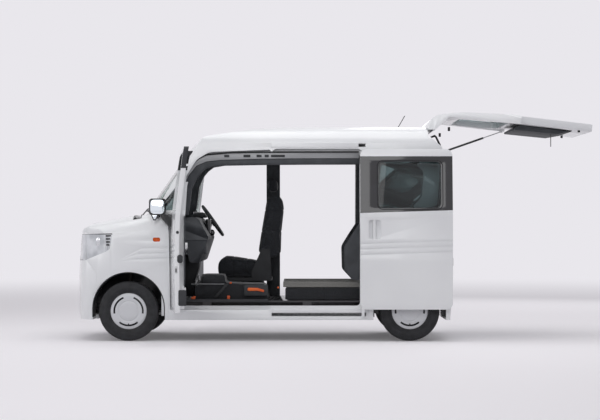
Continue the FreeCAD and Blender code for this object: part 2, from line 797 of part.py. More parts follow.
def bulkhead():
    inside = envelope(D.wing_wall + D.seat_gap)
    room = RAIL_Y - D.seat_gap
    wall = block((FIREWALL, -HALF, D.floor_height - 10), (FIREWALL + 20, HALF, D.cowl_height - 45))
    notch = block((FIREWALL - 1, 330 - D.seat_gap, 0), (FIREWALL + 21, 400 + D.seat_gap, RAIL_TOP + D.seat_gap))
    recess = block((FIREWALL - 1, RECESS_Y, 0), (FIREWALL + 20 - RECESS_SHEET, HALF, RECESS_TOP))
    wall = wall.common(cabin_room).cut(both(notch)).cut(both(recess))
    c = D.cowl_station
    z = D.cowl_height
    scuttle_outline = (
        (c - 72, z - 92, 0), (c - 72, z - 64, 0), (c - 14, z - 58, 0), (c, z - 14, 0),
        (c + 22, z - 8, 0), (FIREWALL + 20, z - 8, 0), (FIREWALL + 20, z - 92, 0),
    )
    scuttle = prism("side", scuttle_outline, -room, room)
    gutter = prism("side", scuttle_outline, -COWL_Y, COWL_Y).common(
        block((0, -HALF, 0), (c, HALF, D.roof_height)))
    scuttle = scuttle.fuse(gutter).common(screen_depth(SCREEN_BACK)).common(inside)
    inner = D.kingpin_head - 78
    aprons = []
    for side in (-1, 1):
        low, high = sorted((side * inner, side * (inner + 18)))
        plate = block((100, low, 330), (FIREWALL, high, APRON_TOP))
        low, high = sorted((side * inner, side * (HALF - D.wing_wall)))
        shelf = block((140, low, 682), (FIREWALL, high, 700))
        ledge = block((140, low, APRON_TOP - 20), (FIREWALL, high, APRON_TOP))
        aprons += [plate, shelf.common(inside), ledge.common(inside)]
    panel = block((100, -inner, 330), (118, inner, 900))
    window = block((90, -inner + 90, 404), (130, inner - 90, 826))
    knuckle_post = bonnet_knuckle(False)
    whole = fused(wall, scuttle, *aprons, panel.cut(window), knuckle_post, mirrored(knuckle_post))
    lamp_room = prism("side", LAMP, -HALF - 20, -LAMP_INNER_Y + D.seat_gap, D.seat_gap)
    return main_solid(whole.cut(both(lamp_room)))


add_feature("front_bulkhead", bulkhead())
radiator = block((118 + D.seat_gap, -340, RAIL_TOP + D.seat_gap), (157, 340, 838))
add_feature("radiator", radiator)

# Floor: stepped panel, longitudinal rails, cross members and rear wheelhouses
ROOM = HALF
WHEELHOUSE_Y = WHEEL_Y - D.tyre_width / 2 - 16


def floor_pan():
    f = D.floor_height
    k = D.deck_height
    t = D.floor_sheet
    s = D.deck_station
    front = FIREWALL + 20 + D.seat_gap
    back = TAIL - D.side_wall - D.shut_gap
    outline = (
        (front, f - t, 0), (s, f - t, 0), (s + 50, k - t, 0), (back, k - t, 0),
        (back, k, 0), (s + 40, k, 0), (s - 10, f, 0), (front, f, 0),
    )
    pan = prism("side", outline, -ROOM, ROOM)
    pan = pan.cut(wheelhouse_space(0)).cut(mirrored(wheelhouse_space(0)))
    parts = [pan]
    for side in (-1, 1):
        low, high = sorted((side * 330, side * 400))
        parts.append(block((118, low, RAIL_TOP - 60), (FIREWALL + 20, high, RAIL_TOP)))
        parts.append(block((FIREWALL, low, 240), (s, high, f - t)))
        rail = ((s - 60, 240, 0), (s - 60, f - t, 0), (s, f - t, 0), (s + 50, k - t, 0),
                (back, k - t, 0), (back, k - t - 70, 0), (s + 90, k - t - 80, 0))
        parts.append(prism("side", rail, low, high))
        lug_low, lug_high = sorted((side * 331, side * (D.engine_width / 2 + D.seat_gap)))
        parts.append(block((300, lug_low, 340), (380, lug_high, 385)))
    for station in (D.hinge_station + 258, s - 590):
        parts.append(block((station, -ROOM, 300), (station + 80, ROOM, f - t)))
    parts.append(block((back - 60, -WHEELHOUSE_Y, k - 85), (back, WHEELHOUSE_Y, k - t)))
    return fused(*parts).common(cabin_room)


def wheelhouse_space(inset):
    corners = (
        (REAR_AXLE - D.arch_radius - inset, -50, 0),
        (REAR_AXLE - D.arch_radius - inset, D.arch_height + inset, D.arch_radius - 1),
        (REAR_AXLE + D.arch_radius + inset, D.arch_height + inset, D.arch_radius - 1),
        (REAR_AXLE + D.arch_radius + inset, -50, 0),
    )
    return prism("side", corners, -HALF, -WHEELHOUSE_Y + inset)


def wheelhouse():
    outer = wheelhouse_space(12)
    back = TAIL - D.side_wall - D.shut_gap
    low = block((0, -ROOM, D.deck_height - D.floor_sheet - 85), (back, 0, D.roof_height))
    return outer.common(low).cut(wheelhouse_space(0))


house_left = wheelhouse()
houses = both(house_left).common(cabin_room)
add_feature("floor_pan", main_solid(fused(floor_pan(), houses)))


# Outside handles: a recess and an upright grip, placed from the recess's front edge
HANDLE_FRONT = 690
SLIDER_HANDLE_FRONT = 77
HANDLE_LOW = 915
HANDLE_HIGH = 1085
RECESS_LONG = 108
RECESS_DEEP = 26
GRIP_FRONT = 35
GRIP_LONG = 26


def with_handle(door, front):
    recess = left_prism((
        (front, HANDLE_LOW, 22), (front, HANDLE_HIGH, 22),
        (front + RECESS_LONG, HANDLE_HIGH, 22), (front + RECESS_LONG, HANDLE_LOW, 22)))
    near = front + GRIP_FRONT
    grip = left_prism((
        (near, HANDLE_LOW - 1, 0), (near, HANDLE_HIGH + 1, 0),
        (near + GRIP_LONG, HANDLE_HIGH + 1, 0), (near + GRIP_LONG, HANDLE_LOW - 1, 0)))
    return door.cut(recess.cut(envelope(RECESS_DEEP))).fuse(layer(grip, 4.0, 20))


# Armrest and map pocket on the inner face of a front door: side outlines from the hinge
ARMREST = ((365, 812, 22), (345, 880, 22), (745, 890, 22), (745, 838, 18))
ARMREST_DEEP = 34
POCKET = ((180, 375, 24), (165, 490, 30), (700, 505, 30), (715, 375, 24))
POCKET_DEEP = 19


# Side doors
def front_door_panel():
    zone = left_prism(front_door)
    skin = layer(zone, 0.0, D.door_skin)
    core_zone = left_prism(front_door, -D.door_lap)
    limit = block((0, -HALF, 0), (D.pillar_station - PILLAR_FACE - D.shut_gap, 0, 2000))
    core = layer(core_zone, D.door_skin - 2, D.door_depth).common(limit)
    door = main_solid(skin).fuse(main_solid(core)).cut(left_prism(front_pane))
    armrest = layer(left_prism(moved(ARMREST, D.hinge_station)), D.door_depth - 2, D.door_depth + ARMREST_DEEP)
    pocket = layer(left_prism(moved(POCKET, D.hinge_station)), D.door_depth - 2, D.door_depth + POCKET_DEEP)
    pocket = pocket.cut(layer(left_prism(moved(POCKET, D.hinge_station), -9).translated(V(0, 0, 12)),
                              D.door_depth, D.door_depth + POCKET_DEEP - 5))
    door = door.cut(grooves).fuse(main_solid(armrest)).fuse(main_solid(pocket))
    door = with_handle(door, D.hinge_station + HANDLE_FRONT)
    for height in HINGE_HEIGHTS:
        door = door.cut(hinge_notch(height)).fuse(hinge_knuckle(height, True))
    return main_solid(door)


def front_door_glass():
    return main_solid(layer(left_prism(front_pane, -D.seat_gap), 18, 18 + D.glass))


def door_mirror():
    """Mirror head on an arm from the door's front corner."""
    x = D.hinge_station + 57
    y = -HALF - 120
    head = Part.makeBox(84, 150, 148, V(x - 42, y - 75, 1129))
    head = head.makeFillet(26, [e for e in head.Edges if abs(e.tangentAt(e.FirstParameter).x) > 0.9])
    head = head.cut(Part.makeBox(8, 122, 122, V(x + 42 - 6, y - 61, 1142)))
    arm_corners = ((-HALF + D.hinge_depth, 1022, 8), (-HALF - 18, 1022, 10), (-HALF - 92, 1112, 8),
                   (-HALF - 92, 1135, 0), (-HALF - 40, 1135, 0), (-HALF + D.hinge_depth, 1108, 0))
    arm = prism("section", arm_corners, x - 26, x + 26)
    arm = arm.cut(envelope()).cut(envelope().translated(V(0, -D.seat_gap, 0)))
    small = Part.makeSphere(24, V(x + 6, y + 2, 1120))
    return main_solid(head.fuse(arm).fuse(small))


def turn_open(shape):
    turned = shape.copy()
    turned.rotate(HINGE_PIN, V(0, 0, 1), -D.door_angle)
    return turned


for label, maker in (
    ("front_door", front_door_panel), ("front_door_glass", front_door_glass),
    ("door_mirror", door_mirror),
):
    opened = turn_open(maker())
    add_feature(label + "_left", opened)
    add_feature(label + "_right", mirrored(opened))


def sliding_door_panel():
    zone = left_prism(sliding_door)
    skin = layer(zone, 0.0, D.door_skin)
    limit = block((D.pillar_station + PILLAR_FACE + D.shut_gap, -HALF, 0), (TAIL, 0, 2000))
    core = layer(left_prism(sliding_door, -D.door_lap), D.door_skin - 2, D.door_depth).common(limit)
    door = main_solid(skin).fuse(main_solid(core)).cut(left_prism(sliding_pane))
    door = with_handle(door, D.pillar_station + SLIDER_HANDLE_FRONT)
    return door.cut(grooves)


def carrier_arms():
    """Arms that carry the open sliding door from its three rails."""
    door_inner = -(HALF + SLIDE_OUT - D.door_skin)
    s = D.pillar_station + D.slide_travel
    gap = D.seat_gap
    arms = []
    for station, height, inner in (
        (s + 12, LOWER_RAIL_Z, LOWER_RAIL_Y),
        (s + 12, UPPER_RAIL_Z, UPPER_RAIL_Y),
        (CENTRE_BACK - 40, CENTRE_RAIL_Z, CENTRE_RAIL_Y),
    ):
        low = height + RAIL_SHEET + gap
        high = height + RAIL_HEIGHT - RAIL_SHEET - gap
        reach = -inner - RAIL_SHEET - gap
        arms.append(block((station, door_inner + 40, low), (station + 26, reach, high)))
    return arms


def open_door(shape):
    return shape.translated(V(D.slide_travel, -SLIDE_OUT, 0))


def hung_door():
    door = open_door(sliding_door_panel())
    s = D.pillar_station + D.slide_travel
    outer = -(HALF + SLIDE_OUT)
    foot = LOWER_RAIL_Z + RAIL_SHEET + D.seat_gap
    drop = block((s + 12, outer + 10, foot), (s + 38, outer + 40, 330))
    reach = block((s + 12, outer + 10, foot),
                  (s + 38, -HALF + 20, LOWER_RAIL_Z + RAIL_HEIGHT - RAIL_SHEET - D.seat_gap))
    riser = block((s + 12, outer + 150, UPPER_RAIL_Z - 60), (s + 38, outer + 190, UPPER_RAIL_Z + 10))
    return main_solid(fused(door, *carrier_arms(), drop, reach, riser))


door_left = hung_door()
add_feature("sliding_door_left", door_left)
add_feature("sliding_door_right", mirrored(door_left))
slide_glass = open_door(main_solid(layer(left_prism(sliding_pane, -D.seat_gap), 4.0, 4 + D.glass)))
rear_quarter = main_solid(layer(left_prism(rear_pane, -D.seat_gap), 5.0, 5 + D.glass))
panes = [main_solid(quarter), slide_glass, rear_quarter]
add_feature("side_windows", Part.Compound(panes + [mirrored(pane) for pane in panes]))

# Tailgate, made shut and then turned open about its hinge
GATE_PANE = ((-(D.gate_half - 60), D.belt_height + 40, 60), (-(D.gate_half - 90), D.roof_height - 300, 70))


PLATE_RECESS = ((-215, 690, 20), (-235, 870, 30))
PLATE_DEPTH = 16


def turn_gate(shape):
    turned = shape.copy()
    turned.rotate(GATE_PIN, V(0, 1, 0), -D.gate_angle)
    return turned


def tailgate():
    gate = shell(D.gate_wall).common(gate_region(0))
    opening = prism("section", symmetric(GATE_PANE), TAIL - 300, TAIL + 50)
    gate = main_solid(gate).cut(opening).cut(strut_room)
    plate_zone = prism("section", symmetric(PLATE_RECESS), TAIL - 100, TAIL + 50)
    gate = gate.cut(plate_zone.cut(envelope(PLATE_DEPTH)))
    pin_arm = gate_knuckle(True)
    gate = gate.cut(both(gate_notch())).fuse(pin_arm).fuse(mirrored(pin_arm))
    lug_y = EYE_FACE - 6
    lug_low = (STRUT_EYE.x - 8, lug_y - 12, STRUT_EYE.z - 16)
    lug = block(lug_low, (TAIL - D.gate_wall + 12, lug_y, STRUT_EYE.z + 16))
    face = V(STRUT_EYE.x, EYE_FACE - D.seat_gap, STRUT_EYE.z)
    stud = rod(face - V(0, 12, 0), face, STUD_RADIUS)
    return main_solid(gate.fuse(lug).fuse(stud))


EYE_HALF = 6
EYE_FACE = STRUT_Y - EYE_HALF
EYE_RADIUS = 8
ROD_INSIDE = 8
ROD_PLAY = 0.05


def strut():
    """Tube and rod in their open places; the tube's bore takes the rod's whole stroke."""
    opened = STRUT_FOOT + open_strut()
    along = open_strut()
    length = along.Length
    stroke = length - (STRUT_EYE - STRUT_FOOT).Length
    along.normalize()
    tube = Part.makeCylinder(TUBE_RADIUS, TUBE_LENGTH, STRUT_FOOT, along)
    across = V(0, FOOT_HALF, 0)
    end = rod(STRUT_FOOT - across, STRUT_FOOT + across, EYE_RADIUS + 1)
    depth = stroke + ROD_INSIDE + D.shut_gap
    bore = Part.makeCylinder(ROD_RADIUS + ROD_PLAY, depth + 1, STRUT_FOOT + along * (TUBE_LENGTH - depth), along)
    tube = tube.fuse(end).cut(bore)
    start = TUBE_LENGTH - ROD_INSIDE
    shaft = Part.makeCylinder(ROD_RADIUS, length - start, STRUT_FOOT + along * start, along)
    across = V(0, EYE_HALF, 0)
    eye = rod(opened - across, opened + across, EYE_RADIUS)
    return main_solid(tube), main_solid(shaft.fuse(eye))


def open_strut():
    """From the strut's foot to its eye with the tailgate open."""
    arm = STRUT_EYE - GATE_PIN
    turn = FreeCAD.Rotation(V(0, 1, 0), -D.gate_angle)
    return GATE_PIN + turn.multVec(arm) - STRUT_FOOT


add_feature("tailgate", turn_gate(tailgate()))
gate_glass_zone = prism("section", symmetric(GATE_PANE), TAIL - 300, TAIL + 50, -D.seat_gap)
gate_glass = layer(gate_glass_zone, 4.0, 4 + D.glass).common(
    block((TAIL - 250, -HALF, 0), (TAIL + 50, HALF, D.roof_height)))
add_feature("tailgate_glass", turn_gate(main_solid(gate_glass)))
strut_tube, strut_rod = strut()
add_feature("strut_tube", strut_tube)
add_feature("strut_rod", strut_rod)
rear_bumper = main_solid(shell(D.side_wall).common(
    block((TAIL - 62 + D.seat_gap, -HALF - 20, 0), (TAIL + 50, HALF + 20, BUMPER_TOP - D.seat_gap))))
add_feature("rear_bumper", rear_bumper)
tail_lamp = main_solid(shell(44).common(
    prism("side", TAIL_LAMP, -HALF - 20, -(D.gate_half + D.shut_gap + 4), -D.seat_gap)))
add_feature("tail_lamps", both(tail_lamp))


# Bodies made in the part design way
def origin_plane(body, role):
    return next(f for f in body.Origin.OriginFeatures if f.Role == role)


def new_body(label, position, turn=None):
    body = doc.addObject("PartDesign::Body", label)
    body.Label = label
    body.Placement = FreeCAD.Placement(position + ORIGIN, turn or FreeCAD.Rotation())
    pieces[label] = body
    return body


def new_sketch(body, role, name, *outlines):
    sketch = body.newObject("Sketcher::SketchObject", name)
    sketch.AttachmentSupport = (origin_plane(body, role), [""])
    sketch.MapMode = "FlatFace"
    for corners in outlines:
        for edge in outline_edges(corners, lambda p: p):
            sketch.addGeometry(edge, False)
    return sketch


def pad(body, sketch, alias, symmetric_pad=True):
    feature = body.newObject("PartDesign::Pad", "Pad")
    feature.Profile = sketch
    feature.SideType = "Symmetric" if symmetric_pad else "One side"
    feature.setExpression("Length", "Sizes." + alias)
    return feature


def revolve(body, sketch, axis):
    feature = body.newObject("PartDesign::Revolution", "Revolution")
    feature.Profile = sketch
    feature.ReferenceAxis = (sketch, [axis])
    feature.Angle = 360
    return feature


# Tyre and wheel sections: distance from the wheel's middle plane, radius, corner radius
def tyre_section():
    half = D.tyre_width / 2
    bead = D.rim_radius + D.seat_gap
    top = D.tyre_radius
    side = (top + bead) / 2 - 8
    return (
        (-half + 26, bead, 5), (-half - 1, side, 50), (-half + 12, top - 4, 16), (0, top + 1.2, 380),
        (half - 12, top - 4, 16), (half + 1, side, 50), (half - 26, bead, 5),
    )


def make_tyre(label, position):
    body = new_body(label, position)
    section = [(v, u, r) for u, v, r in tyre_section()]
    sketch = new_sketch(body, "XY_Plane", "Section", section)
    revolve(body, sketch, "V_Axis")


def wheel_section():
    """Half section of rim, disc and cover: radius, distance outboard, corner radius."""
    half = D.rim_width / 2
    rim = D.rim_radius
    bore = D.hub_radius + D.seat_gap
    return (
        (bore, 18, 0), (118, 18, 10), (126, 8, 8), (rim - 12, 8, 4), (rim - 12, -half + 4, 4),
        (rim + 6, -half - 3, 0), (rim + 6, -half, 0), (rim, -half + 6, 4), (rim, half - 6, 4),
        (rim + 5, half, 0), (D.cover_radius, half + 2, 3), (D.cover_radius - 6, half + 9, 5),
        (96, half + 20, 30), (90, half + 12, 5), (bore, half + 12, 0),
        (bore, half + 5, 0), (88, half + 5, 0), (96, half + 13, 0), (rim - 14, half + 4, 0),
        (rim - 14, 22, 4), (bore, 30, 0),
    )


def make_wheel(label, position, side):
    """Steel wheel with a slotted cover; side is -1 on the left and 1 on the right."""
    turn = FreeCAD.Rotation(V(1, 0, 0), 180) if side < 0 else FreeCAD.Rotation()
    body = new_body(label, position, turn)
    revolve(body, new_sketch(body, "XY_Plane", "Section", wheel_section()), "V_Axis")
    slots = new_sketch(body, "XZ_Plane", "Slot", slot_outline())
    pocket = body.newObject("PartDesign::Pocket", "Slots")
    pocket.Profile = slots
    pocket.Reversed = True
    pocket.Length = D.rim_width / 2 + 30
    pattern = body.newObject("PartDesign::PolarPattern", "SlotPattern")
    pattern.Originals = [pocket]
    pattern.Axis = (slots, ["N_Axis"])
    pattern.Angle = 360
    pattern.Occurrences = 3
    body.Tip = pattern


def slot_outline():
    """One curved slot of the cover, centred on the downward radius."""
    radius = 128
    half_width = 8
    spread = math.radians(39)
    outer = radius + half_width
    inner = radius - half_width
    return (
        (-outer * math.sin(spread), -outer * math.cos(spread), 0),
        (0, -outer / math.cos(spread), outer),
        (outer * math.sin(spread), -outer * math.cos(spread), 0),
        (inner * math.sin(spread), -inner * math.cos(spread), 0),
        (0, -inner / math.cos(spread), inner),
        (-inner * math.sin(spread), -inner * math.cos(spread), 0),
    )


for name, axle in (("front", FRONT_AXLE), ("rear", REAR_AXLE)):
    for side, word in ((-1, "left"), (1, "right")):
        centre = V(axle, side * WHEEL_Y, D.tyre_radius)
        make_tyre(f"tyre_{name}_{word}", centre)
        make_wheel(f"wheel_{name}_{word}", centre, side)


# Front knuckles: hub, brake disc, upright and damper on the kingpin's line
KINGPIN_LOW = 178
KINGPIN_TOP = 668
SHELF_UNDER = 682
PIN_RADIUS = 9


def kingpin_y(height):
    share = (height - KINGPIN_LOW) / (KINGPIN_TOP - KINGPIN_LOW)
    return D.kingpin_foot + (D.kingpin_head - D.kingpin_foot) * share


HUB_FACE = WHEEL_Y + 18 - D.seat_gap


def knuckle():
    z = D.tyre_radius
    spigot = rod((FRONT_AXLE, HUB_FACE - 6, z), (FRONT_AXLE, HUB_FACE + 14, z), D.hub_radius)
    flange = rod((FRONT_AXLE, HUB_FACE - 14, z), (FRONT_AXLE, HUB_FACE, z), 62)
    disc = rod((FRONT_AXLE, HUB_FACE - 34, z), (FRONT_AXLE, HUB_FACE - 14, z), 108)
    carrier = rod((FRONT_AXLE, HUB_FACE - 76, z), (FRONT_AXLE, HUB_FACE - 34, z), 50)
    low = V(FRONT_AXLE, kingpin_y(KINGPIN_LOW), KINGPIN_LOW)
    top = V(FRONT_AXLE, kingpin_y(KINGPIN_TOP), KINGPIN_TOP)
    waist = V(FRONT_AXLE, kingpin_y(360), 360)
    upright = rod(low, waist, 20)
    damper = rod(waist, top, 24)
    axis = top - low
    axis.normalize()
    tilt = math.hypot(axis.x, axis.y)
    pin_top = SHELF_UNDER - D.seat_gap - PIN_RADIUS * tilt
    pin = rod(top - axis * 5, V(FRONT_AXLE, kingpin_y(pin_top), pin_top), PIN_RADIUS)
    return main_solid(fused(spigot, flange, disc, carrier, upright, damper, pin))


knuckle_right = knuckle()
add_feature("knuckle_right", knuckle_right)
add_feature("knuckle_left", mirrored(knuckle_right))


def front_suspension():
    """Subframe across the car with a lower arm to each kingpin's foot."""
    frame = block((FRONT_AXLE - 60, -360, 232), (FRONT_AXLE + 190, 360, 268))
    frame = frame.cut(block((FRONT_AXLE, -260, 200), (FRONT_AXLE + 130, 260, 300)))
    legs = [block((FRONT_AXLE + 90, side * 365 - 25, 268), (FRONT_AXLE + 170, side * 365 + 25, 330 - D.seat_gap))
            for side in (-1, 1)]
    parts = [frame] + legs
    foot = D.kingpin_foot
    for side in (-1, 1):
        corners = (
            (FRONT_AXLE - 22, side * (foot + 6), 12), (FRONT_AXLE + 26, side * (foot + 6), 12),
            (FRONT_AXLE + 170, side * 340, 0), (FRONT_AXLE - 40, side * 340, 0),
        )
        arm = prism("plan", corners, 146, 146 + 22)
        post = block((FRONT_AXLE - 20, min(side * 300, side * 358), 146), (FRONT_AXLE + 150, max(side * 300, side * 358), 240))
        parts += [arm, post]
        low = V(FRONT_AXLE, side * foot, KINGPIN_LOW)
        axis = V(FRONT_AXLE, side * kingpin_y(KINGPIN_TOP), KINGPIN_TOP) - low
        axis.normalize()
        ball = rod(low - axis * 22, low - axis * D.seat_gap, 12)
        parts.append(ball)
    return fused(*parts)


add_feature("front_suspension", main_solid(front_suspension()))


def rear_axle():
    """Twist beam with a trailing arm, drum and hub on each side."""
    z = D.tyre_radius
    parts = [rod((REAR_AXLE - 230, -470, z + 10), (REAR_AXLE - 230, 470, z + 10), 38)]
    for side in (-1, 1):
        inner = side * 430
        outer = side * 490
        arm = (
            (REAR_AXLE - 500, 282, 15), (REAR_AXLE - 500, 324, 15), (REAR_AXLE - 430, 328, 20),
            (REAR_AXLE + 40, z + 40, 20), (REAR_AXLE + 60, z - 40, 20), (REAR_AXLE - 240, z - 45, 60),
        )
        parts.append(prism("side", arm, min(inner, outer), max(inner, outer)))
        parts.append(rod((REAR_AXLE, side * 470, z), (REAR_AXLE, side * (HUB_FACE - 60), z), 44))
        parts.append(rod((REAR_AXLE, side * (HUB_FACE - 62), z), (REAR_AXLE, side * HUB_FACE, z), 104))
        parts.append(rod((REAR_AXLE, side * (HUB_FACE - 2), z), (REAR_AXLE, side * (HUB_FACE + 14), z), D.hub_radius))
        parts.append(rod((REAR_AXLE - 20, side * 460, z), (REAR_AXLE + 40, side * 460, D.deck_height), 26))
        parts.append(rod((REAR_AXLE - 465, side * 400.3, 303), (REAR_AXLE - 465, side * 500, 303), 16))
    under_floor = D.deck_height - D.floor_sheet - D.seat_gap
    above = block((REAR_AXLE - 300, -HALF, under_floor), (REAR_AXLE + 300, HALF, D.roof_height))
    return main_solid(fused(*parts).cut(above))


add_feature("rear_axle", rear_axle())

# Masses under the floor
def box_body(label, position, length_alias, width_alias, height, corner, fillet=0.0):
    body = new_body(label, position)
    length = getattr(D, length_alias)
    corners = ((0, 0, corner), (length, 0, corner), (length, height, corner), (0, height, corner))
    sketch = new_sketch(body, "XZ_Plane", "Outline", corners)
    pad(body, sketch, width_alias)
    return body


box_body("engine", V(185, 0, 300), "engine_length", "engine_width", D.engine_height, 30)
FLOOR_UNDER = D.floor_height - D.floor_sheet
box_body("fuel_tank", V(1255, 0, FLOOR_UNDER - D.seat_gap - D.tank_height), "tank_length",
         "tank_width", D.tank_height, 28)


def exhaust():
    """Down pipe, long run beside the tank, silencer and tail pipe, on one hanger."""
    radius = 20
    route = ((560, 150, 299.7), (560, 150, 212), (980, 500, 212), (2170, 500, 212),
             (2180, 500, 235))
    runs = [rod(start, end, radius) for start, end in zip(route, route[1:])]
    elbows = [Part.makeSphere(radius, V(*point)) for point in route[1:-1]]
    silencer = rod((2145, 505, 238), (2470, 505, 238), 60)
    tail = rod((2460, 540, 222), (2590, 545, 205), radius - 2)
    hanger = rod((2300, 505, 300), (2300, 505, FLOOR_UNDER - D.seat_gap), 8)
    return main_solid(fused(*runs, *elbows, silencer, tail, hanger))


add_feature("exhaust", exhaust())


# Cabin
def dashboard():
    f = FIREWALL + 20 + D.seat_gap
    corners = (
        (f, 860, 0), (f, 1068, 0), (f + 120, 1105, 80), (f + 320, 1112, 60), (f + 420, 930, 60),
        (f + 345, 700, 40), (f + 250, 700, 30), (f + 215, 860, 30),
    )
    dash = prism("side", corners, -HALF, HALF).common(cabin_room)
    column_way = rod(column_point(-60), column_point(560), 34)
    return main_solid(dash.cut(column_way))


STEER_CENTRE = V(1196, 350, 1081)
STEER_AXIS = V(0.819, 0, 0.574)


def column_point(distance):
    return STEER_CENTRE - STEER_AXIS * distance


def steering_column():
    shroud = rod(column_point(30), column_point(170), 33.7)
    shaft = rod(column_point(160), column_point(470), 20)
    spigot = rod(column_point(16), column_point(40), 14)
    return main_solid(fused(shroud, shaft, spigot))


def steering_wheel():
    ring = Part.makeTorus(D.wheel_rim - 14, 14, V(0, 0, 0), V(0, 0, 1))
    hub = Part.makeCylinder(52, 42, V(0, 0, -24))
    spoke = Part.makeBox(D.wheel_rim - 30, 34, 12, V(20, -17, -12))
    spokes = []
    for angle in (90, 180, 270):
        turned = spoke.copy()
        turned.rotate(V(0, 0, 0), V(0, 0, 1), angle)
        spokes.append(turned)
    wheel = fused(ring, hub, *spokes).cut(Part.makeCylinder(14.3, 30, V(0, 0, -40)))
    wheel.Placement = FreeCAD.Placement(STEER_CENTRE, FreeCAD.Rotation(V(0, 0, 1), STEER_AXIS))
    return main_solid(wheel)


add_feature("dashboard", dashboard())
add_feature("steering_column", steering_column())
add_feature("steering_wheel", steering_wheel())


# Driver's seat: side outlines padded across, on a base with runners
s0 = D.seat_front
z0 = D.cushion_base
top = z0 + D.cushion_height
cushion = (
    (s0, z0, 50), (s0 + 4, top + 20, 70), (s0 + 160, top + 10, 300),
    (s0 + D.cushion_length, top - 40, 40), (s0 + D.cushion_length, z0, 30),
)
lean = s0 + D.cushion_length - 75
back = (
    (lean + 10, top + 2, 30), (lean + 2, top + 60, 60), (lean + 30, 968, 200), (lean + 86, 1300, 60),
    (lean + 92, 1340, 25), (lean + 215, 1335, 50), (lean + 232, 1200, 200), (lean + 208, 980, 200),
    (lean + 200, top - 10, 60),
)


def plain_solid(corners, low, high):
    return prism("side", corners, low, high)


half_seat = D.seat_width / 2
seat_low = D.seat_centre - half_seat
seat_high = D.seat_centre + half_seat
seat_cushion = plain_solid(cushion, seat_low + 5, seat_high - 5)
seat_back = plain_solid(back, seat_low + 5, seat_high - 5)
seat_cushion = seat_cushion.cut(plain_solid(
    ((lean - 4, top - 60, 0), (lean - 4, top + 200, 0), (lean + 300, top + 200, 0), (lean + 300, top - 60, 0)),
    seat_low - 10, seat_high + 10))
seat_back = seat_back.cut(seat_cushion)
add_feature("driver_seat_cushion", main_solid(seat_cushion))
add_feature("driver_seat_back", main_solid(seat_back))
headrest = plain_solid(
    ((lean + 84, 1352, 25), (lean + 90, 1486, 40), (lean + 172, 1480, 40), (lean + 182, 1350, 25)),
    D.seat_centre - 135, D.seat_centre + 135)
posts = [rod((lean + 130, D.seat_centre + y, 1330), (lean + 130, D.seat_centre + y, 1370), 7) for y in (-60, 60)]
post_room = seat_back.translated(V(0, 0, D.seat_gap))
add_feature("driver_headrest", main_solid(fused(headrest, *[post.cut(post_room) for post in posts])))


def seat_base():
    z = D.floor_height
    runners = [block((s0 + 40, D.seat_centre + y - 18, z + D.seat_gap), (s0 + 500, D.seat_centre + y + 18, z + 40))
               for y in (-190, 190)]
    box = block((s0 + 70, seat_low + 30, z + 40), (s0 + 440, seat_high - 30, z0 - 10))
    frame = block((s0 + 90, seat_low - 4, z0 - 30), (s0 + 520, seat_high + 4, z0 - D.seat_gap))
    plates = []
    for low, high in ((seat_low - 4, seat_low + 5 - D.seat_gap), (seat_high - 5 + D.seat_gap, seat_high + 4)):
        corners = ((s0 + 330, z0 - 20, 0), (s0 + 330, z0 + 60, 20), (lean + 30, top + 90, 20),
                   (lean + 110, top + 90, 20), (s0 + 520, z0 - 20, 0))
        plates.append(prism("side", corners, low, high))
    return fused(*runners, box, frame, *plates)


add_feature("driver_seat_base", main_solid(seat_base()))

# Folded passenger seat and folded rear seats below the load floor
f = D.floor_height + D.seat_gap
passenger = fused(
    plain_solid(((1062, f, 20), (1060, 500, 30), (1120, 520, 20), (1128, 590, 20), (1350, 590, 20),
                 (1360, 520, 20), (1740, 510, 30), (1758, f, 20)), -625, -130),
)
add_feature("passenger_seat_folded", main_solid(passenger))
rear_fold = plain_solid(((1880, f, 0), (1880, 480, 12), (D.deck_station - 35, 480, 12), (D.deck_station - 35, f, 0)), -615, 615)
add_feature("rear_seats_folded", main_solid(rear_fold))


def load_floor():
    t = D.deck_height + D.seat_gap
    side = HALF - D.side_wall - 40
    deck = block((1874, -side, 480 + D.seat_gap), (D.deck_station - 20, side, t + 22))
    rear = block((D.deck_station - 20, -WHEELHOUSE_Y + 20, t), (TAIL - 95, WHEELHOUSE_Y - 20, t + 22))
    ribs = [block((1890, y - 20, t + 22), (TAIL - 110, y + 20, t + 26)) for y in (-420, -210, 0, 210, 420)]
    return fused(deck, rear, *ribs)


add_feature("load_floor", main_solid(load_floor()))

# Wipers parked along the foot of the windscreen: pivot, and the blade's two ends across
WIPERS = ((505, 470, -10), (-45, -80, -545))
PIVOT_S = D.cowl_station - 40
BLADE_LOW = D.cowl_height + 14
BLADE_HIGH = D.cowl_height + 40
BLADE_HALF = 5


def in_front_of_screen(region, near, far):
    """What lies in a region between two distances ahead of the windscreen."""
    return region.common(envelope().translated(V(-far, 0, 0))).cut(envelope().translated(V(-near, 0, 0)))


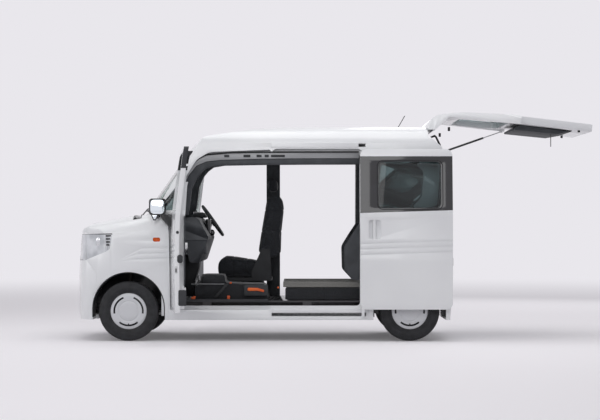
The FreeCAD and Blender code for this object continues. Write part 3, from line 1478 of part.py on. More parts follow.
def wiper(pivot_y, root_y, tip_y):
    c = D.cowl_station
    gutter_floor = D.cowl_height - 59.5 + D.seat_gap
    post = rod((PIVOT_S, pivot_y, gutter_floor), (PIVOT_S, pivot_y, D.cowl_height - 15), 11)
    corners = ((root_y, BLADE_HIGH - BLADE_HALF, 0), (root_y, BLADE_HIGH + BLADE_HALF, 0),
               (tip_y, BLADE_LOW + BLADE_HALF, 0), (tip_y, BLADE_LOW - BLADE_HALF, 0))
    blade = main_solid(in_front_of_screen(prism("section", corners, c - 60, c + 160), 0.4, 14))
    middle = (root_y + tip_y) / 2
    height = (BLADE_LOW + BLADE_HIGH) / 2
    surface = main_solid(in_front_of_screen(
        block((c - 60, middle - 8, height - 7), (c + 160, middle + 8, height + 7)), 6, 20))
    reach = surface.BoundBox
    arm = rod((PIVOT_S, pivot_y, D.cowl_height - 21), (reach.Center.x, middle, height), 5)
    return main_solid(fused(post, arm, surface, blade))


add_feature("wipers", Part.Compound([wiper(*places) for places in WIPERS]))

# Quarter trims inside the rear corners: a bulge over the wheelhouse behind each doorway
QUARTER_TRIM = (
    (-60, 545, 30), (-128, 620, 60), (-134, 840, 90), (-60, 960, 90), (0, 1050, 60), (40, 1090, 40),
    (470, 1110, 40), (480, 1000, 0), (480, 545, 0),
)
TRIM_DEEP = 55
DOORWAY_BACK = D.pillar_station + 790
DOORWAY_CLEAR = 639


def quarter_trim():
    zone = left_prism(moved(QUARTER_TRIM, DOORWAY_BACK))
    back = block((0, -HALF, 0), (TAIL - D.side_wall - D.shut_gap, 0, D.roof_height))
    hollow = prism("section", cross_section(), -50, TAIL + 50, -(D.side_wall + TRIM_DEEP))
    doorway = block((0, -HALF, 0), (DOORWAY_BACK, -DOORWAY_CLEAR, D.roof_height))
    trim = zone.common(back).common(cabin_room).cut(hollow).cut(doorway)
    return main_solid(trim.cut(wheelhouse_space(12 + D.seat_gap)))


trim_left = quarter_trim()
add_feature("quarter_trims", both(trim_left))

# Aerial on the roof
base_x = D.gate_hinge_station - 256
roof_z = D.roof_height - 22
foot = Part.makeCone(18, 9, 42, V(base_x, 0, roof_z - 22), V(0, 0, 1))
mast = rod((base_x, 0, roof_z + 14), (base_x + 70, 0, roof_z + 136), 3.5)
aerial = fused(foot, mast).cut(envelope()).cut(envelope().translated(V(0, 0, D.seat_gap)))
add_feature("aerial", main_solid(aerial))

doc.recompute()
for label, piece in pieces.items():
    broken = [state for state in piece.State if state in ("Invalid", "Error")]
    shape = piece.Shape
    if broken or shape.isNull() or not shape.isValid() or not shape.Solids:
        raise RuntimeError(f"{label} failed: {piece.State}")
for thing in doc.Objects:
    if "Invalid" in thing.State or "Error" in thing.State:
        raise RuntimeError(f"{thing.Label} failed")
for label, piece in pieces.items():
    piece.Shape.exportStep(f"parts/{label}.step")
    print(label, len(piece.Shape.Solids), round(piece.Shape.Volume / 1e6, 2), "litres")
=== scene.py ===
import bpy
import bmesh
import json
import math
from mathutils import Matrix, Vector
from mathutils.bvhtree import BVHTree

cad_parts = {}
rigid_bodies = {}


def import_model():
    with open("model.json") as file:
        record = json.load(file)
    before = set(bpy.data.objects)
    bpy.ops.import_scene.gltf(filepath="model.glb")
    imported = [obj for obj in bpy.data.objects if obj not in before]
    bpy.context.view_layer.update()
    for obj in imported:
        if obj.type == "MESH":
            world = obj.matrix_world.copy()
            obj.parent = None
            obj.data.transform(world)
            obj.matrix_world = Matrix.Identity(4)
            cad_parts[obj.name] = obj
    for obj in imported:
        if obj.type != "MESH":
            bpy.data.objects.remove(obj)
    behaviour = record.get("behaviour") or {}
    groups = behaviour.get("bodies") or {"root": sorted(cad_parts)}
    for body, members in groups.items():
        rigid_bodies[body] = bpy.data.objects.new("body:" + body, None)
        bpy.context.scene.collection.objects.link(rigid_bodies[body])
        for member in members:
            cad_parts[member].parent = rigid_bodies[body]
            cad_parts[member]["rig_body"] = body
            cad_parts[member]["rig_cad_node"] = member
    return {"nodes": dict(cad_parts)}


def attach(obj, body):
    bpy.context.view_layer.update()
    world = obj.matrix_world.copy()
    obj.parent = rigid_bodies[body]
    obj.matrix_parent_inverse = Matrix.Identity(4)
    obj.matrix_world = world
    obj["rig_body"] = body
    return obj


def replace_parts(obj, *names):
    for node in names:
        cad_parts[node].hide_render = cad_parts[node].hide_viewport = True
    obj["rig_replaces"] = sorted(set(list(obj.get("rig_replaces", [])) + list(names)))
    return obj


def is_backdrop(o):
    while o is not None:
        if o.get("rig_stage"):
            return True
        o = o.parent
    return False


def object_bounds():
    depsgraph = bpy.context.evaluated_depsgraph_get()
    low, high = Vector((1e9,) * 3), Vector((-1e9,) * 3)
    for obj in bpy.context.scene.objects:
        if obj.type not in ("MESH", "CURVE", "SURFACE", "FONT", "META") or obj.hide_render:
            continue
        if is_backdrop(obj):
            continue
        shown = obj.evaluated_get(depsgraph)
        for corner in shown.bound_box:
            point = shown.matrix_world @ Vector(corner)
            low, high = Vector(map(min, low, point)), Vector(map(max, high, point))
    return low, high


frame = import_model()
cad_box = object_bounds()

# Places are given as the CAD gives them: millimetres, s rearward from the nose, y to the
# van's right, z up from the ground. NOSE is where the nose lies in the row's frame.
NOSE = -2.3255
HALF = 737.5
MM = 0.001
LEFT, RIGHT = -1, 1


def at(s, y, z):
    return Vector((s * MM + NOSE, y * MM, z * MM))


# Materials ---------------------------------------------------------------------------
def linear(hex_colour):
    """An sRGB hex colour as the linear values that Blender's sockets take."""
    parts = [int(hex_colour[i:i + 2], 16) / 255 for i in (1, 3, 5)]
    return tuple(c / 12.92 if c <= 0.04045 else ((c + 0.055) / 1.055) ** 2.4 for c in parts) + (1.0,)


def add_node(tree, kind, inputs=(), **settings):
    """A node with its settings, and with its inputs set to values or linked to sockets."""
    node = tree.nodes.new(kind)
    for name, value in settings.items():
        setattr(node, name, value)
    for key, value in dict(inputs).items():
        if isinstance(value, bpy.types.NodeSocket):
            tree.links.new(value, node.inputs[key])
        else:
            node.inputs[key].default_value = value
    return node


def finish(name, colour, roughness, metallic=0.0, **shader_inputs):
    """A material with one Principled shader; returns it with its tree, shader and place."""
    material = bpy.data.materials.new(name)
    material.use_nodes = True
    tree = material.node_tree
    shader = tree.nodes["Principled BSDF"]
    shader.inputs["Base Color"].default_value = linear(colour)
    shader.inputs["Roughness"].default_value = roughness
    shader.inputs["Metallic"].default_value = metallic
    for key, value in shader_inputs.items():
        shader.inputs[key.replace("_", " ")].default_value = value
    place = add_node(tree, "ShaderNodeTexCoord").outputs["Object"]
    return material, tree, shader, place


def tint(tree, shader, factor, dark, light, low=0.35, high=0.65):
    """Colour that wanders between two hex values with a pattern."""
    ramp = add_node(tree, "ShaderNodeMapRange", {"Value": factor, "From Min": low, "From Max": high})
    mix = add_node(tree, "ShaderNodeMix", {"Factor": ramp.outputs[0]}, data_type="RGBA")
    mix.inputs[6].default_value = linear(dark)
    mix.inputs[7].default_value = linear(light)
    tree.links.new(mix.outputs[2], shader.inputs["Base Color"])


def relief(tree, shader, height, depth, strength=1.0, under=None):
    """Bump of a real depth in metres, on top of another one where under is given."""
    inputs = {"Height": height, "Distance": depth, "Strength": strength}
    if under is not None:
        inputs["Normal"] = under.outputs["Normal"]
    bump = add_node(tree, "ShaderNodeBump", inputs)
    tree.links.new(bump.outputs["Normal"], shader.inputs["Normal"])
    return bump


def noise(tree, place, size_mm, detail=2.0):
    """Noise whose features are about size_mm across."""
    inputs = {"Vector": place, "Scale": 1000 / size_mm, "Detail": detail}
    return add_node(tree, "ShaderNodeTexNoise", inputs).outputs["Fac"]


def enamel(name, dark, light, roughness=0.28):
    """Baked enamel on pressed steel: an even coat under clear lacquer, with faint orange peel
    about 4 mm across and a slow drift of tone."""
    material, tree, shader, place = finish(name, light, roughness, Coat_Weight=0.55, Coat_Roughness=0.06)
    tint(tree, shader, noise(tree, place, 900), dark, light)
    relief(tree, shader, noise(tree, place, 4, 1.0), 0.00003, 0.5)
    return material


def moulded(name, dark, light, roughness, grain_mm=2.2, depth=0.00012, coat=0.0):
    """Injection-moulded plastic: an etched grain, drawn about 2 mm coarse so that it shows,
    and a slight drift of tone from wear."""
    material, tree, shader, place = finish(name, light, roughness, Coat_Weight=coat, Coat_Roughness=0.1)
    tint(tree, shader, noise(tree, place, 120), dark, light)
    cells = add_node(tree, "ShaderNodeTexVoronoi", {"Vector": place, "Scale": 1000 / grain_mm})
    relief(tree, shader, cells.outputs["Distance"], depth, 0.6)
    return material


def woven(name, dark, light, thread_mm=3.0, roughness=0.9):
    """Woven polyester seat cloth: crossing threads, drawn 3 mm apart so that they show, with a
    soft sheen and heathered yarn."""
    material, tree, shader, place = finish(name, light, roughness, Sheen_Weight=0.25, Sheen_Roughness=0.5)
    scale = 1000 / thread_mm
    ribs = []
    for axis in ("X", "Y", "Z"):
        wave = add_node(tree, "ShaderNodeTexWave", {"Vector": place, "Scale": scale / 6.28, "Distortion": 0.6,
                                                    "Detail": 0.0}, bands_direction=axis)
        ribs.append(wave.outputs["Fac"])
    crossed = add_node(tree, "ShaderNodeMath", {0: ribs[0], 1: ribs[1]}, operation="MULTIPLY")
    weave = add_node(tree, "ShaderNodeMath", {0: crossed.outputs[0], 1: ribs[2]}, operation="ADD")
    tint(tree, shader, noise(tree, place, 9, 4.0), dark, light, 0.3, 0.7)
    relief(tree, shader, weave.outputs[0], 0.0006, 0.55)
    return material


def cast(name, dark, light, roughness, metallic):
    """Sand-cast or rolled metal: a coarse skin, with darker and lighter patches."""
    material, tree, shader, place = finish(name, light, roughness, metallic)
    tint(tree, shader, noise(tree, place, 30, 5.0), dark, light)
    relief(tree, shader, noise(tree, place, 3, 3.0), 0.0004, 0.6)
    return material


def pane(name, colour, roughness=0.02, weight=1.0, ior=1.45):
    """Float glass or clear moulding: smooth, tinted in the mass, with the faintest waviness."""
    material, tree, shader, place = finish(name, colour, roughness, Transmission_Weight=weight, IOR=ior)
    relief(tree, shader, noise(tree, place, 260, 0.0), 0.0002, 0.15)
    return material


white_enamel = enamel("white_baked_enamel", "#e3e5e7", "#eceeef")
silver_enamel = enamel("silver_wheel_enamel", "#c6c8cb", "#d3d5d8", 0.35)
black_coat = enamel("black_dip_coat", "#131417", "#1c1d20", 0.45)
charcoal_trim = moulded("charcoal_polypropylene", "#33363a", "#3f4246", 0.62)
dark_trim = moulded("black_polypropylene", "#1d1f22", "#282a2e", 0.58)
grey_trim = moulded("grey_polypropylene", "#6a6c6e", "#787a7c", 0.6)
gloss_black = moulded("gloss_black_acrylic", "#0c0e12", "#14161b", 0.12, 40, 0.00002, 0.6)
seal_rubber = moulded("epdm_seal_rubber", "#0d0e10", "#17181b", 0.78, 1.5)
seat_cloth = woven("charcoal_woven_polyester", "#202226", "#34373c")
seat_side = woven("black_knitted_backing", "#17191c", "#24262a", 2.2)
orange_plastic = moulded("orange_polypropylene", "#d9571a", "#ee6c22", 0.45)
belt_web = woven("black_belt_webbing", "#131417", "#1f2124", 1.4, 0.6)
floor_felt = woven("grey_needle_felt", "#6f6f6d", "#85847f", 4.0, 0.95)
cast_iron = cast("cast_iron", "#2c2a28", "#413d3a", 0.7, 0.85)
alloy = cast("die_cast_alloy", "#8b8c8d", "#a5a6a7", 0.42, 0.9)
zinc = cast("zinc_plated_steel", "#9fa1a2", "#bcbdbe", 0.35, 0.95)
float_glass = pane("tinted_float_glass", "#dfe8e4")
privacy_glass = pane("grey_privacy_glass", "#93a2a3")
amber_lens = pane("amber_acrylic", "#ff6a10", 0.1, 0.4)
red_lens = pane("red_acrylic", "#b1121a", 0.08, 0.45)
lamp_silver = moulded("metallised_lamp_bowl", "#b9bdc2", "#dfe2e6", 0.16, 30, 0.0004, 0.9)


def plain_finish():
    mirror, tree, shader, place = finish("silvered_mirror_glass", "#eef6fb", 0.03, 1.0)
    relief(tree, shader, noise(tree, place, 200, 0.0), 0.0001, 0.1)
    chrome, tree, shader, place = finish("vacuum_metallised_reflector", "#d8dadd", 0.12, 1.0)
    relief(tree, shader, noise(tree, place, 12, 0.0), 0.0003, 0.4)
    rubber, tree, shader, place = finish("carbon_black_tyre_rubber", "#1d1e21", 0.72)
    tint(tree, shader, noise(tree, place, 60, 3.0), "#18191b", "#26272a")
    relief(tree, shader, noise(tree, place, 2.5, 2.0), 0.0003, 0.5)
    return mirror, chrome, rubber


mirror_glass, reflector, tyre_rubber = plain_finish()


# Modelling helpers ---------------------------------------------------------------------
def let_go():
    if bpy.context.object and bpy.context.object.mode != "OBJECT":
        bpy.ops.object.mode_set(mode="OBJECT")
    bpy.ops.object.select_all(action="DESELECT")


def take(obj):
    let_go()
    obj.select_set(True)
    bpy.context.view_layer.objects.active = obj


def settle(obj, name, material, body):
    """Name, finish and body of a new piece, with its place put into its mesh."""
    take(obj)
    bpy.ops.object.transform_apply(location=True, rotation=True, scale=True)
    obj.name = name
    obj.data.name = name
    obj.data.materials.clear()
    obj.data.materials.append(material)
    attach(obj, body)
    return obj


def smooth(obj, degrees=35):
    take(obj)
    bpy.ops.object.shade_smooth_by_angle(angle=math.radians(degrees))
    return obj


def bake_modifiers(obj):
    take(obj)
    for modifier in list(obj.modifiers):
        bpy.ops.object.modifier_apply(modifier=modifier.name)
    return obj


def soften(obj, width_mm, segments=2, degrees=40):
    """Rounds the sharp edges with an applied Bevel."""
    bevel = obj.modifiers.new("round", "BEVEL")
    bevel.width = width_mm * MM
    bevel.segments = segments
    bevel.limit_method = "ANGLE"
    bevel.angle_limit = math.radians(degrees)
    bevel.miter_outer = "MITER_ARC"
    bake_modifiers(obj)
    return smooth(obj)


def box_piece(name, low, high, radius, material, body, segments=3):
    """A block from low to high (s, y, z), its edges rounded."""
    a, b = at(*low), at(*high)
    let_go()
    bpy.ops.mesh.primitive_cube_add(size=1, location=(a + b) / 2)
    obj = bpy.context.object
    obj.scale = [abs(v) for v in (b - a)]
    settle(obj, name, material, body)
    return soften(obj, radius, segments)


def rod_piece(name, start, end, radius, material, body, sides=24, edge=0.0, end_radius=None):
    """A round bar or cone between two places, its rims rounded where edge is given."""
    a, b = at(*start), at(*end)
    along = b - a
    let_go()
    if end_radius is None:
        bpy.ops.mesh.primitive_cylinder_add(vertices=sides, radius=radius * MM, depth=along.length,
                                            location=(a + b) / 2)
    else:
        bpy.ops.mesh.primitive_cone_add(vertices=sides, radius1=radius * MM, radius2=end_radius * MM,
                                        depth=along.length, location=(a + b) / 2)
    obj = bpy.context.object
    obj.rotation_mode = "QUATERNION"
    obj.rotation_quaternion = along.to_track_quat("Z", "Y")
    settle(obj, name, material, body)
    if edge:
        return soften(obj, edge, 2)
    return smooth(obj)


def ball_piece(name, centre, radii, material, body):
    let_go()
    bpy.ops.mesh.primitive_uv_sphere_add(segments=32, ring_count=20, location=at(*centre))
    obj = bpy.context.object
    obj.scale = [r * MM for r in radii]
    settle(obj, name, material, body)
    return smooth(obj, 60)


def arc_points(corners, steps=6):
    """Corners (u, v, radius) as a closed run of points, each corner rounded by its radius."""
    points = []
    count = len(corners)
    for i, (u, v, radius) in enumerate(corners):
        corner = Vector((u, v))
        if radius == 0:
            points.append(corner)
            continue
        before = (Vector(corners[i - 1][:2]) - corner).normalized()
        after = (Vector(corners[(i + 1) % count][:2]) - corner).normalized()
        half = before.angle(after) / 2
        reach = radius / math.tan(half)
        centre = corner + (before + after).normalized() * (radius / math.sin(half))
        start = corner + before * reach - centre
        end = corner + after * reach - centre
        turn = start.angle_signed(end)
        for k in range(steps + 1):
            points.append(centre + Matrix.Rotation(-turn * k / steps, 2) @ start)
    return points


PLANES = {
    "side": lambda u, v, w: at(u, w, v),
    "section": lambda u, v, w: at(w, u, v),
    "plan": lambda u, v, w: at(u, v, w),
}


def sheet_face(plane, points, where):
    """A flat face with the outline given, made from a circle primitive's own vertices."""
    let_go()
    bpy.ops.mesh.primitive_circle_add(vertices=len(points), fill_type="NGON")
    obj = bpy.context.object
    for vertex, (u, v) in zip(obj.data.vertices, points):
        vertex.co = PLANES[plane](u, v, where)
    return obj


def outward(obj):
    take(obj)
    bpy.ops.object.mode_set(mode="EDIT")
    bpy.ops.mesh.select_all(action="SELECT")
    bpy.ops.mesh.normals_make_consistent(inside=False)
    bpy.ops.object.mode_set(mode="OBJECT")
    return obj


def slab_piece(name, plane, corners, start, end, radius, material, body, steps=6, segments=2):
    """An outline with rounded corners, extruded across its plane, with rounded edges."""
    obj = sheet_face(plane, arc_points(corners, steps), start)
    take(obj)
    bpy.ops.object.mode_set(mode="EDIT")
    bpy.ops.mesh.select_all(action="SELECT")
    step = PLANES[plane](0, 0, end) - PLANES[plane](0, 0, start)
    bpy.ops.mesh.extrude_region_move(TRANSFORM_OT_translate={"value": step})
    bpy.ops.object.mode_set(mode="OBJECT")
    outward(obj)
    settle(obj, name, material, body)
    if radius:
        return soften(obj, radius, segments)
    return smooth(obj)


def tube_piece(name, points, radius, material, body, closed=False, sides=3):
    """A round strip along points, such as a seal, pipe or cable."""
    let_go()
    bpy.ops.curve.primitive_bezier_curve_add()
    obj = bpy.context.object
    curve = obj.data
    curve.splines.clear()
    spline = curve.splines.new("POLY")
    spline.points.add(len(points) - 1)
    for point, place in zip(spline.points, points):
        point.co = (*place, 1)
    spline.use_cyclic_u = closed
    curve.dimensions = "3D"
    curve.bevel_depth = radius * MM
    curve.bevel_resolution = sides
    curve.use_fill_caps = not closed
    take(obj)
    bpy.ops.object.convert(target="MESH")
    obj = bpy.context.object
    outward(obj)
    settle(obj, name, material, body)
    return smooth(obj, 50)


def spun_piece(name, profile, centre, material, body, steps=96, arc=360.0, start=0.0):
    """A profile of (y, radius) points turned about an axle along Y, from start degrees above
    the rearward direction."""
    let_go()
    bpy.ops.mesh.primitive_circle_add(vertices=len(profile), fill_type="NOTHING")
    obj = bpy.context.object
    axle = at(*centre)
    level, rise = math.cos(math.radians(start)), math.sin(math.radians(start))
    for vertex, (out, radius) in zip(obj.data.vertices, profile):
        vertex.co = axle + Vector((radius * level, out, radius * rise)) * MM
    take(obj)
    bpy.ops.object.mode_set(mode="EDIT")
    bpy.ops.mesh.select_all(action="SELECT")
    bpy.ops.mesh.spin(steps=steps, angle=math.radians(arc), center=axle, axis=(0, 1, 0))
    bpy.ops.mesh.select_all(action="SELECT")
    bpy.ops.mesh.remove_doubles(threshold=0.00002)
    if arc < 360:
        bpy.ops.mesh.fill_holes(sides=0)
    bpy.ops.mesh.select_all(action="SELECT")
    bpy.ops.mesh.normals_make_consistent(inside=False)
    bpy.ops.object.mode_set(mode="OBJECT")
    return smooth(settle(obj, name, material, body), 30)


def copy_of(obj, name):
    made = obj.copy()
    made.data = obj.data.copy()
    made.name = name
    made.data.name = name
    made.modifiers.clear()
    bpy.context.scene.collection.objects.link(made)
    return made


def dressed(node, name, material, bevel=0.0, degrees=32):
    """A CAD node's own shape with merged vertices, smooth faces and softened edges."""
    source = frame["nodes"][node]
    obj = copy_of(source, name)
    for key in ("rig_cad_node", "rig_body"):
        if key in obj:
            del obj[key]
    obj.parent = None
    obj.hide_render = False
    obj.hide_viewport = False
    take(obj)
    bpy.ops.object.mode_set(mode="EDIT")
    bpy.ops.mesh.select_all(action="SELECT")
    bpy.ops.mesh.remove_doubles(threshold=0.00002)
    bpy.ops.mesh.dissolve_limited(angle_limit=math.radians(0.6))
    bpy.ops.object.mode_set(mode="OBJECT")
    obj.data.materials.clear()
    obj.data.materials.append(material)
    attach(obj, source["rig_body"])
    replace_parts(obj, node)
    if bevel:
        soften(obj, bevel, 2, 38)
    smooth(obj, degrees)
    return obj


def split(obj, *cuts):
    """Cuts the faces of a piece along planes, each a place (s, y, z) and a direction."""
    take(obj)
    bpy.ops.object.mode_set(mode="EDIT")
    for place, direction in cuts:
        bpy.ops.mesh.select_all(action="SELECT")
        bpy.ops.mesh.bisect(plane_co=at(*place), plane_no=direction, use_fill=False)
    bpy.ops.object.mode_set(mode="OBJECT")
    return obj


def joined(name, *objects):
    let_go()
    for obj in objects:
        obj.select_set(True)
    bpy.context.view_layer.objects.active = objects[0]
    bpy.ops.object.join()
    objects[0].name = name
    objects[0].data.name = name
    return objects[0]


def cut_away(obj, cutter):
    """Takes the cutter's space out of a piece."""
    knife = obj.modifiers.new("cut", "BOOLEAN")
    knife.object = cutter
    knife.solver = "EXACT"
    bake_modifiers(obj)
    bpy.data.objects.remove(cutter)
    return smooth(obj)


def paint(obj, material, wanted):
    """Gives a second finish to the faces for which wanted(middle, normal) is true."""
    obj.data.materials.append(material)
    index = len(obj.data.materials) - 1
    for face in obj.data.polygons:
        middle = face.center
        place = Vector(((middle.x - NOSE) / MM, middle.y / MM, middle.z / MM))
        if wanted(place, face.normal):
            face.material_index = index
    return obj


def mirrored(obj, name, body, *nodes):
    """The piece's mirror image on the other side, with its own mesh."""
    made = copy_of(obj, name)
    for key in ("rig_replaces",):
        if key in made:
            del made[key]
    made.parent = None
    made.data.transform(Matrix.Scale(-1, 4, Vector((0, 1, 0))))
    made.data.flip_normals()
    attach(made, body)
    if nodes:
        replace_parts(made, *nodes)
    return made


def surface_of(*nodes):
    """For rays onto the CAD: the nodes' faces as one tree."""
    mesh = bmesh.new()
    for node in nodes:
        mesh.from_mesh(frame["nodes"][node].data)
    tree = BVHTree.FromBMesh(mesh)
    mesh.free()
    return tree


def y_on(tree, s, z, side=LEFT, far=1100):
    """Where a ray from outboard meets the surface, as y in millimetres."""
    hit = tree.ray_cast(at(s, side * far, z), Vector((0, -side, 0)))[0]
    return None if hit is None else hit.y / MM


# Stage, light and camera ---------------------------------------------------------------
BACKDROP = "#e9e7ec"


def plain_surface(name, colour, seen):
    """Matt painted studio surface; the camera, gloss and glass see it a little brighter."""
    material, tree, shader, place = finish(name, colour, 0.9)
    tint(tree, shader, noise(tree, place, 2500), colour, colour)
    path = add_node(tree, "ShaderNodeLightPath")
    either = add_node(tree, "ShaderNodeMath", {0: path.outputs["Is Camera Ray"], 1: path.outputs["Is Glossy Ray"]},
                      operation="MAXIMUM")
    either = add_node(tree, "ShaderNodeMath", {0: either.outputs[0], 1: path.outputs["Is Transmission Ray"]},
                      operation="MAXIMUM")
    glow = add_node(tree, "ShaderNodeEmission", {"Color": linear(colour), "Strength": seen})
    none = add_node(tree, "ShaderNodeEmission", {"Strength": 0.0})
    mix = add_node(tree, "ShaderNodeMixShader", {0: either.outputs[0], 1: none.outputs[0], 2: glow.outputs[0]})
    near = add_node(tree, "ShaderNodeAddShader", {0: shader.outputs[0], 1: mix.outputs[0]})
    away = add_node(tree, "ShaderNodeVectorMath", {0: place}, operation="LENGTH")
    fade = add_node(tree, "ShaderNodeMapRange", {"Value": away.outputs["Value"], "From Min": 4.0, "From Max": 20.0},
                    interpolation_type="SMOOTHSTEP")
    fade = add_node(tree, "ShaderNodeMath", {0: fade.outputs[0], 1: either.outputs[0]}, operation="MULTIPLY")
    far = add_node(tree, "ShaderNodeEmission", {"Color": linear(BACKDROP), "Strength": 1.0})
    total = add_node(tree, "ShaderNodeMixShader", {0: fade.outputs[0], 1: near.outputs[0], 2: far.outputs[0]})
    tree.links.new(total.outputs[0], tree.nodes["Material Output"].inputs["Surface"])
    return material


def studio():
    let_go()
    bpy.ops.mesh.primitive_plane_add(size=60, location=(0, 0, 0))
    floor = bpy.context.object
    floor.name = "studio_floor"
    floor.data.materials.append(plain_surface("studio_floor_paint", "#e9e7ea", 0.12))
    floor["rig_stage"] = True
    world = bpy.data.worlds.new("studio")
    bpy.context.scene.world = world
    world.use_nodes = True
    tree = world.node_tree
    back = tree.nodes["Background"]
    path = add_node(tree, "ShaderNodeLightPath")
    seen = add_node(tree, "ShaderNodeMath", {0: path.outputs["Is Camera Ray"], 1: path.outputs["Is Transmission Ray"]},
                    operation="MAXIMUM")
    seen = add_node(tree, "ShaderNodeMath", {0: seen.outputs[0], 1: path.outputs["Is Glossy Ray"]},
                    operation="MAXIMUM")
    bright = add_node(tree, "ShaderNodeMix", {0: seen.outputs[0], 2: 0.5, 3: 1.0})
    tree.links.new(bright.outputs[0], back.inputs["Strength"])
    back.inputs["Color"].default_value = linear(BACKDROP)
    lamps = (
        ("overhead", (0.0, -1.0, 6.5), (0, 0, 0), 7.0, 5.0, 190),
        ("near_side", (-2.0, -9.0, 4.5), (0, 0, 0.9), 6.0, 4.0, 120),
        ("nose_side", (-9.0, -3.0, 3.5), (0, 0, 1.0), 4.0, 3.0, 80),
        ("far_side", (3.0, 8.0, 4.0), (0, 0, 1.0), 5.0, 4.0, 90),
    )
    for name, place, aim, width, height, power in lamps:
        bpy.ops.object.light_add(type="AREA", location=place)
        lamp = bpy.context.object
        lamp.name = name
        lamp.data.shape = "RECTANGLE"
        lamp.data.size = width
        lamp.data.size_y = height
        lamp.data.energy = power
        lamp.rotation_euler = (Vector(aim) - Vector(place)).to_track_quat("-Z", "Y").to_euler()


def photo_camera():
    """Long lens from the left, level, 17 m from the side panels."""
    data = bpy.data.cameras.new("photo_camera")
    data.lens = 114.0
    data.sensor_width = 36
    data.shift_y = 0.0232
    data.clip_end = 200
    camera = bpy.data.objects.new("photo_camera", data)
    bpy.context.scene.collection.objects.link(camera)
    camera.location = at(2026, -17737.5, 1050)
    camera.rotation_euler = (math.radians(90), 0, 0)
    bpy.context.scene.camera = camera


bpy.context.scene.view_settings.view_transform = "Standard"
studio()
photo_camera()

# Body shell ------------------------------------------------------------------------------
BODY = "body"


def in_front_arch(place, normal):
    """True for faces round the front wheel that look at it."""
    away = Vector((place.x - 490, 0, place.z - 290))
    return 250 < away.length < 372 and place.z < 640 and away.normalized().dot(normal) < -0.4


def inside_skin(side):
    """True for faces of a body side that look into the cabin."""
    def test(place, normal):
        inboard = -side * normal.y
        return inboard > 0.35 and abs(place.y) < 700 and place.x > 780
    return test


# Black band of a sliding door: its foot rises rearward, its head is level
BAND_FOOT = ((2563, 1147), (3388, 1172))
BAND_HEAD = 1655
BAND_SLOPE = (BAND_FOOT[1][1] - BAND_FOOT[0][1]) / (BAND_FOOT[1][0] - BAND_FOOT[0][0])
BAND_CUTS = (
    ((BAND_FOOT[0][0], 0, BAND_FOOT[0][1]), (-BAND_SLOPE, 0, 1)),
    ((0, 0, BAND_HEAD), (0, 0, 1)),
)


def in_band(place, normal):
    foot = BAND_FOOT[0][1] + (place.x - BAND_FOOT[0][0]) * BAND_SLOPE
    outward = normal.y if place.y > 0 else -normal.y
    return foot < place.z < BAND_HEAD and outward > -0.3 and abs(place.y) > 700


def faces_inboard(place, normal):
    inboard = -normal.y if place.y > 0 else normal.y
    return inboard > 0.5


# An open front door's inner face looks rearward; its outer skin looks forward
FRAME_DARK = 1525
TRIM_CUTS = tuple(((0, side * y, 0), (0, 1, 0)) for side in (LEFT, RIGHT) for y in (705, 1545)) + (
    ((0, 0, 318), (0, 0, 1)), ((0, 0, 1135), (0, 0, 1)), ((0, 0, FRAME_DARK), (0, 0, 1)))


def door_trim(place, normal):
    if place.z > FRAME_DARK:
        return normal.x > -0.35
    return normal.x > 0.25 and 318 < place.z and 705 < abs(place.y) < 1545 and place.x > 985


for word, side in (("left", LEFT), ("right", RIGHT)):
    shell = dressed(f"body_side_{word}", f"side_panel_{word}", white_enamel, 2.0)
    paint(shell, dark_trim, in_front_arch)
    paint(shell, charcoal_trim, inside_skin(side))
roof = dressed("roof_panel", "roof_skin", white_enamel, 2.0)
paint(roof, grey_trim, lambda place, normal: normal.z < -0.4)
wings = dressed("front_wings", "front_wing_panels", white_enamel, 2.0)
paint(wings, dark_trim, in_front_arch)
dressed("bonnet", "bonnet_lid", white_enamel, 2.5)
dressed("front_bumper", "front_bumper_cover", white_enamel, 2.0)
dressed("rear_bumper", "rear_bumper_cover", white_enamel, 3.0)
tail = dressed("tailgate", "tailgate_shell", white_enamel, 3.0)
for word in ("left", "right"):
    door = dressed(f"front_door_{word}", f"front_door_shell_{word}", white_enamel, 2.0)
    split(door, *TRIM_CUTS)
    paint(door, dark_trim, door_trim)
    slider = dressed(f"sliding_door_{word}", f"sliding_door_shell_{word}", white_enamel, 2.5)
    split(slider, *BAND_CUTS)
    paint(slider, gloss_black, in_band)
    paint(slider, charcoal_trim, faces_inboard)
    dressed(f"door_mirror_{word}", f"mirror_case_{word}", gloss_black, 2.0)
    dressed(f"tyre_front_{word}", f"front_tyre_{word}", tyre_rubber)
    dressed(f"tyre_rear_{word}", f"rear_tyre_{word}", tyre_rubber)
    dressed(f"front_door_glass_{word}", f"front_door_pane_{word}", float_glass)

NODE_FINISHES = {
    "front_bulkhead": black_coat, "floor_pan": black_coat, "windscreen": float_glass,
    "grille": dark_trim, "headlamps": lamp_silver, "tail_lamps": red_lens,
    "side_repeaters": amber_lens, "side_windows": privacy_glass, "tailgate_glass": privacy_glass,
    "slide_rails": zinc, "radiator": alloy, "engine": alloy, "exhaust": zinc, "fuel_tank": dark_trim,
    "front_suspension": black_coat, "rear_axle": black_coat, "knuckle_left": cast_iron,
    "knuckle_right": cast_iron, "dashboard": charcoal_trim, "steering_column": dark_trim,
    "steering_wheel": dark_trim, "driver_seat_base": dark_trim, "load_floor": floor_felt,
    "aerial": dark_trim, "strut_tube": black_coat, "strut_rod": zinc, "wipers": dark_trim,
    "quarter_trims": charcoal_trim,
}
LAMP_CUTS = (((271, 0, 0), (1, 0, -0.25)), ((0, 0, 955), (0, 0, 1)))


for node, material in NODE_FINISHES.items():
    if node in frame["nodes"]:
        piece = dressed(node, node + "_piece", material, 0.0)
        if node == "headlamps":
            split(piece, *LAMP_CUTS)
            paint(piece, gloss_black, lambda place, normal: place.z > 955 or place.x > 271 + place.z * 0.25)


